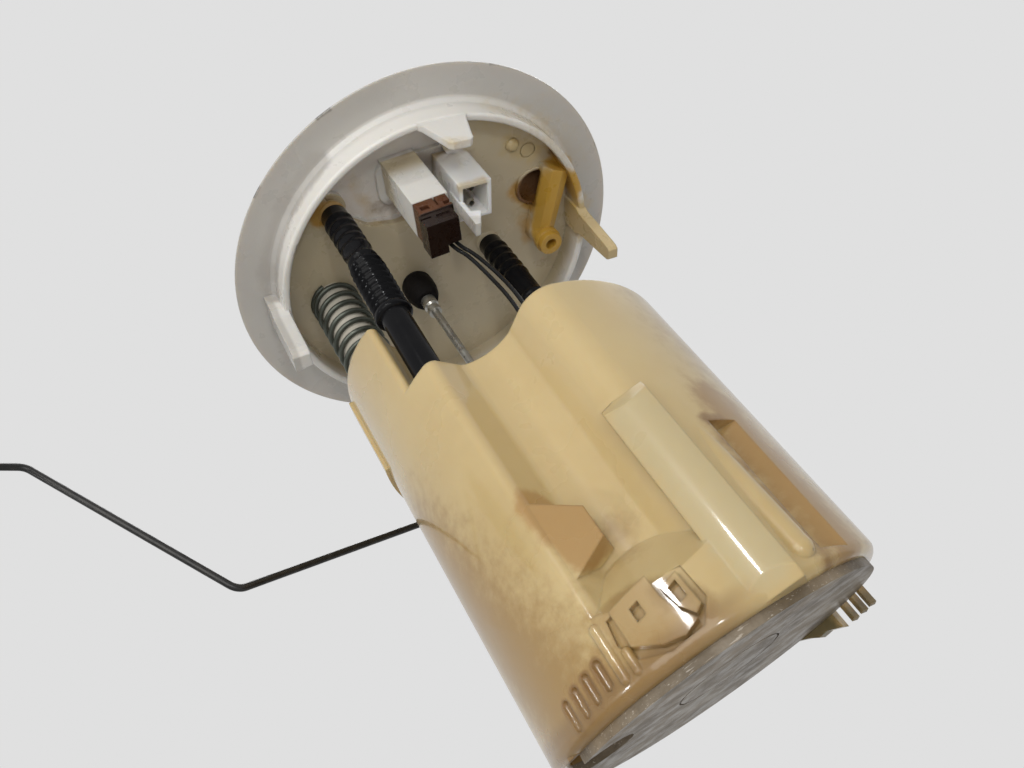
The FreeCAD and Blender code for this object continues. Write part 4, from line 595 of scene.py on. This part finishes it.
add_capsules(plate_tree, plate_shader, plate_place, plate_base, plate_stains)
print("plate marks:", len(plate_stains))

# %% [markdown]
# The plug is dark brown: lit red-brown where it sits in the socket, and almost black below a set height.
# The other finishes are small and plain, and differ in colour, gloss and grain.

# %% Brown plug
brown_plug, plug_tree, plug_shader, plug_place, plug_base = finish_material(
    "brown_plug", (0.105, 0.042, 0.020, 1.0), (0.060, 0.022, 0.012, 1.0), 0.6, 150.0, (0.22, 0.38), 0.0001,
    coat=0.15, specular=0.3, edge=0.0003)
PLUG_LOW_BLACK = (0.008, 0.004, 0.003, 1.0)
# Below a set height the plug is painted almost black.
plug_low = slope_mask(plug_tree, plug_place, (0.0, 0.0, 1.0), -0.0288, -0.0280)
plug_low = math_node(plug_tree, "MULTIPLY", plug_low, 0.94)
plug_base = mix_colour(plug_tree, plug_low, plug_base, PLUG_LOW_BLACK)
plug_tree.links.new(plug_base, plug_shader.inputs["Base Color"])

# %% Other finishes
hose_black = finish_material("hose_black", (0.005, 0.005, 0.006, 1.0), (0.009, 0.009, 0.009, 1.0), 0.5, 90.0,
                             (0.10, 0.20), 0.00008, specular=0.1)[0]
lead_black = finish_material("lead_black", (0.006, 0.006, 0.006, 1.0), (0.012, 0.012, 0.012, 1.0), 0.5, 90.0,
                             (0.22, 0.35), 0.00005, specular=0.2)[0]
post_milky = finish_material("post_milky", (0.52, 0.49, 0.42, 1.0), (0.38, 0.35, 0.28, 1.0), 0.6, 70.0,
                             (0.3, 0.5), 0.0002)[0]
spring_dark = finish_material("spring_dark", (0.11, 0.12, 0.10, 1.0), (0.045, 0.05, 0.04, 1.0), 0.6, 220.0,
                              (0.28, 0.5), 0.0001, metallic=0.7)[0]
rod_steel = finish_material("rod_steel", (0.55, 0.54, 0.50, 1.0), (0.30, 0.28, 0.24, 1.0), 0.5, 150.0,
                            (0.22, 0.42), 0.0001, metallic=0.85)[0]
rubber = finish_material("bush_rubber", (0.008, 0.007, 0.007, 1.0), (0.016, 0.014, 0.013, 1.0), 0.6, 200.0,
                         (0.35, 0.6), 0.0002, specular=0.05)[0]
tinned = finish_material("tinned_pin", (0.62, 0.60, 0.55, 1.0), (0.40, 0.36, 0.28, 1.0), 0.5, 300.0,
                         (0.25, 0.4), 0.0001, metallic=0.95)[0]
natural = finish_material("natural_plastic", (0.55, 0.51, 0.42, 1.0), (0.42, 0.36, 0.26, 1.0), 0.6, 60.0,
                          (0.35, 0.5), 0.0002)[0]
strainer = finish_material("strainer_black", (0.03, 0.03, 0.03, 1.0), (0.05, 0.05, 0.045, 1.0), 0.6, 300.0,
                           (0.6, 0.8), 0.0004, grain=1600.0, grain_share=1.0)[0]
ceramic = finish_material("card_white", (0.72, 0.72, 0.70, 1.0), (0.60, 0.58, 0.54, 1.0), 0.5, 120.0,
                          (0.3, 0.4), 0.0001)[0]
contact = finish_material("contact_brass", (0.62, 0.46, 0.18, 1.0), (0.45, 0.32, 0.12, 1.0), 0.5, 200.0,
                          (0.25, 0.4), 0.0001, metallic=1.0)[0]
arm_black = finish_material("arm_black", (0.016, 0.016, 0.016, 1.0), (0.035, 0.032, 0.028, 1.0), 0.6, 300.0,
                            (0.22, 0.42), 0.0001, metallic=0.3)[0]
float_black = finish_material("float_black", (0.03, 0.03, 0.03, 1.0), (0.05, 0.048, 0.045, 1.0), 0.6, 120.0,
                              (0.55, 0.75), 0.0004, grain=1200.0, grain_share=0.8)[0]

# %% Give every CAD node its finish
finishes = {
    "flange_cover": milky, "outer_terminals": tinned, "socket_pins": tinned, "plug_housing": brown_plug,
    "sensor_lead_a": lead_black, "sensor_lead_b": lead_black, "feed_hose": hose_black,
    "return_hose": hose_black, "guide_post": post_milky, "post_stop": spring_dark,
    "slide_spring": spring_dark, "rod_bush": rubber, "rod_ferrule": rod_steel, "guide_rod": rod_steel,
    "rod_stop": spring_dark, "reservoir_pot": amber, "bottom_plate": plate, "filling_valve": rubber,
    "suction_pipe": natural, "suction_strainer": strainer, "return_pipe": natural, "jet_pump": natural,
    "sensor_housing": natural, "resistor_card": ceramic, "arm_holder": natural, "pivot_washer": spring_dark,
    "wiper": contact, "float_arm": arm_black, "float": float_black, "float_clip": spring_dark,
}
for node_name, finish in finishes.items():
    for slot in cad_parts[node_name].material_slots:
        slot.material = finish
print("finished nodes:", len(finishes), "of", len(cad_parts))


# %% [markdown]
# ## Hoses, leads and spring
# A hose is one ring carried along a line. It could be a curve with a bevel, but then its radius couldn't
# change from ring to ring. So the line is a NURBS curve whose control points are the route's corners, its
# points are read once from an unbevelled curve, and a circle is extruded from station to station along it.
# Each station has its own radius, which gives the swellings of the cuff and the waves of the middle.

# %% Points of a smooth line
def smooth_line(name, route, steps=24):
    """Points read from a NURBS line whose control points are the route, in metres."""
    curve = bpy.data.curves.new(name, "CURVE")
    curve.dimensions = "3D"
    curve.resolution_u = steps
    spline = curve.splines.new("NURBS")
    spline.points.add(len(route) - 1)
    for point, place in zip(spline.points, route):
        point.co = (*place, 1.0)
    spline.order_u = 3
    spline.use_endpoint_u = True
    holder = bpy.data.objects.new(name, curve)
    line = bpy.data.meshes.new_from_object(holder)
    points = [vertex.co.copy() for vertex in line.vertices]
    bpy.data.objects.remove(holder)
    bpy.data.curves.remove(curve)
    bpy.data.meshes.remove(line)
    return points


def line_length(points):
    """Length of a line of points."""
    return sum((after - before).length for before, after in zip(points, points[1:]))


def place_along(points, distance):
    """Place and direction at a distance from the line's start."""
    for before, after in zip(points, points[1:]):
        run = (after - before).length
        if distance <= run or after is points[-1]:
            return before.lerp(after, min(distance / run, 1.0)), (after - before).normalized()
        distance -= run


# %% Tube with its own radius at each station
def tube_shape(points, stations, sides):
    """Mesh of a circle carried along a line; stations are (distance, radius) in metres."""
    shape = bmesh.new()
    ring = bmesh.ops.create_circle(shape, cap_ends=False, segments=sides, radius=1.0)["verts"]
    edges = list({edge for vertex in ring for edge in vertex.link_edges})
    rings = []
    before = Matrix.Identity(4)
    side = None
    for distance, radius in stations:
        place, along = place_along(points, distance)
        side = along.orthogonal() if side is None else side - along * side.dot(along)
        side.normalize()
        if rings:
            grown = bmesh.ops.extrude_edge_only(shape, edges=edges)["geom"]
            ring = [part for part in grown if isinstance(part, bmesh.types.BMVert)]
            edges = [part for part in grown if isinstance(part, bmesh.types.BMEdge) and part.is_boundary]
        turn = Matrix((side, along.cross(side), along)).transposed().to_4x4()
        now = Matrix.Translation(place) @ turn @ Matrix.Scale(radius, 4)
        bmesh.ops.transform(shape, matrix=now @ before.inverted(), verts=ring)
        before = now
        rings.append(edges)
    return shape, rings


def finish_piece(name, shape, material, crease=40.0):
    """Object at the origin from a closed mesh, smooth except at its sharp edges."""
    bmesh.ops.recalc_face_normals(shape, faces=shape.faces)
    data = bpy.data.meshes.new(name)
    shape.to_mesh(data)
    shape.free()
    data.shade_smooth()
    data.set_sharp_from_angle(angle=math.radians(crease))
    data.materials.append(material)
    piece = bpy.data.objects.new(name, data)
    scene.collection.objects.link(piece)
    return piece


# %% [markdown]
# Each hose is a wall with a bore, so its stations run down the outside, turn in at the lower end and come
# back up inside. The first and last ring then fall together and are merged, which closes the mesh. The
# upper end meets the lid and the lower end the pot; on the real unit the corrugation between them takes up
# the pot's slide.

# %% Hose profile
def hose_stations(length, cuff, waves, peak, bore):
    """(distance, radius) pairs down the outside and back up the bore, in millimetres."""
    stations = [(0.0, bore + 0.1), (0.0, cuff - 0.35), (0.12, cuff - 0.12), (0.45, cuff)]
    for middle in (5.4, 9.2, 13.0, 16.8, 20.6):
        for off, rise in ((-1.7, 0.0), (-1.1, 0.22), (-0.4, 0.42), (0.5, 0.36), (1.2, 0.12)):
            stations.append((middle + off, cuff + rise))
    start, stop = waves
    stations.append((start - 1.2, cuff))
    count = round((stop - start) / 2.6)
    pitch = (stop - start) / count
    for wave in range(count):
        grow = min(1.0, (wave + 1.5) / 3.0)
        for part in (0.04, 0.16, 0.32, 0.5, 0.68, 0.84, 0.96):
            swell = (0.5 - 0.5 * math.cos(2.0 * math.pi * part)) ** 0.75
            stations.append((start + (wave + part) * pitch, cuff - 0.1 + (peak - cuff + 0.1) * swell * grow))
    collar = [(0.2, cuff), (0.35, peak + 0.1), (0.7, peak + 0.3), (1.9, peak + 0.3), (2.3, peak + 0.05),
              (2.6, cuff + 0.1), (3.2, cuff)]
    stations += [(stop + off, radius) for off, radius in collar]
    stations += [(length - 0.5, cuff), (length - 0.12, cuff - 0.12), (length, cuff - 0.4)]
    stations += [(length, bore - 0.35), (length - 3.0, bore - 0.45)]
    stations += [(26.0, bore - 0.45), (24.0, bore), (0.0, bore + 0.1)]
    return [(distance * 0.001, radius * 0.001) for distance, radius in stations]


# %% Feed hose and return hose
hose_routes = {
    "feed_hose": [(-0.0183, -0.0356, -0.0018), (-0.0183, -0.0356, -0.0200), (-0.0183, -0.0356, -0.0290),
                  (-0.0203, -0.0328, -0.0740), (-0.0203, -0.0328, -0.0840), (-0.0203, -0.0328, -0.0920)],
    "return_hose": [(0.0173, 0.0106, -0.0018), (0.0173, 0.0106, -0.0290), (0.0173, 0.0106, -0.0740),
                    (0.0173, 0.0106, -0.0920)],
}
hose_forms = {"feed_hose": (4.15, (24.2, 48.2), 5.2), "return_hose": (3.95, (31.2, 60.2), 5.0)}
HOSE_BORE = 3.38
HOSE_SIDES = 36
for node_name, route in hose_routes.items():
    line = smooth_line(node_name + "_line", route)
    cuff, waves, peak = hose_forms[node_name]
    stations = hose_stations(line_length(line) * 1000.0, cuff, waves, peak, HOSE_BORE)
    shape, rings = tube_shape(line, stations, HOSE_SIDES)
    bmesh.ops.remove_doubles(shape, verts=shape.verts, dist=1e-6)
    hose = finish_piece(node_name + "_waved", shape, hose_black, 50.0)
    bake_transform(hose)
    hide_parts(node_name)
    print(node_name, "is", round(line_length(line) * 1000, 1), "mm long,", len(hose.data.polygons), "faces")

# %% [markdown]
# The leads are thin round wires. They leave the plug straight down, curve over to the pot's rim, drop
# inside the wall, cross the pot and come out through the tower's wall to the level sensor. Their ends are
# closed discs inside the plug and the sensor's housing.

# %% Sensor leads
lead_routes = {
    "sensor_lead_a": [
        (0.00500, -0.02667, -0.0295), (0.00500, -0.02667, -0.0346), (0.00720, -0.02527, -0.0395),
        (0.0085, -0.0240, -0.0510), (0.0091, -0.0254, -0.0630), (0.0083, -0.0256, -0.0770),
        (0.0029, -0.0220, -0.0985), (-0.02683, 0.02199, -0.0985), (-0.03692, 0.02987, -0.0985),
        (-0.03818, 0.03085, -0.0985), (-0.03818, 0.03085, -0.0926)],
    "sensor_lead_b": [
        (0.00669, -0.02605, -0.0295), (0.00669, -0.02605, -0.0346), (0.00889, -0.02465, -0.0395),
        (0.0107, -0.0240, -0.0510), (0.0113, -0.0254, -0.0630), (0.0105, -0.0256, -0.0770),
        (0.0051, -0.0220, -0.0985), (-0.02548, 0.02372, -0.0985), (-0.03556, 0.03160, -0.0985),
        (-0.03682, 0.03259, -0.0985), (-0.03682, 0.03259, -0.0926)],
}
LEAD_RADIUS = 0.0006
LEAD_STEPS = 150
LEAD_SIDES = 12
for node_name, route in lead_routes.items():
    line = smooth_line(node_name + "_line", route, 12)
    length = line_length(line)
    stations = [(length * step / LEAD_STEPS, LEAD_RADIUS) for step in range(LEAD_STEPS + 1)]
    shape, rings = tube_shape(line, stations, LEAD_SIDES)
    for edges in (rings[0], rings[-1]):
        bmesh.ops.contextual_create(shape, geom=[edge for edge in edges if edge.is_valid])
    lead = finish_piece(node_name + "_wire", shape, lead_black)
    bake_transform(lead)
    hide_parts(node_name)
    print(node_name, "is", round(length * 1000, 1), "mm long,", len(lead.data.polygons), "faces")

# %% [markdown]
# A spring is a circle of wire turned about its axis while it rises. The spin operator does both: its dvec
# is the rise of each step. A real compression spring ends in a closed turn that lies flat, so the first
# and the last turn rise only a little, and the turns between them are open.

# %% Slide spring
POST_XY = (-0.0350, -0.0080)
SPRING_R = 0.00715
WIRE_R = 0.0008
SPRING_TOP = -0.0011
SPRING_LOW = -0.0609
TURN_STEPS = 40
shape = bmesh.new()
ring = bmesh.ops.create_circle(shape, cap_ends=False, segments=14, radius=WIRE_R)["verts"]
bmesh.ops.rotate(shape, cent=(0.0, 0.0, 0.0), matrix=Matrix.Rotation(math.radians(90.0), 3, "X"), verts=ring)
bmesh.ops.translate(shape, verts=ring, vec=(POST_XY[0] + SPRING_R, POST_XY[1], SPRING_LOW))
first_edges = shape.edges[:]
closed_rise = 0.0018
open_turns = 11.75
open_rise = (SPRING_TOP - SPRING_LOW - 2.0 * closed_rise) / open_turns
geometry = shape.verts[:] + shape.edges[:]
for turns, rise in ((1.0, closed_rise), (open_turns, open_rise), (1.0, closed_rise)):
    steps = round(turns * TURN_STEPS)
    made = bmesh.ops.spin(shape, geom=geometry, cent=(*POST_XY, 0.0), axis=(0.0, 0.0, 1.0),
                          dvec=(0.0, 0.0, rise * turns / steps), angle=2.0 * math.pi * turns, steps=steps,
                          use_merge=False, use_duplicate=False)
    geometry = made["geom_last"]
last_edges = [part for part in geometry if isinstance(part, bmesh.types.BMEdge)]
for edges in (first_edges, last_edges):
    bmesh.ops.contextual_create(shape, geom=edges)
spring = finish_piece("slide_spring_wire", shape, spring_dark)
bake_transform(spring)
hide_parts("slide_spring")
print("spring:", len(spring.data.polygons), "faces, pitch", round(open_rise * 1000, 2), "mm")
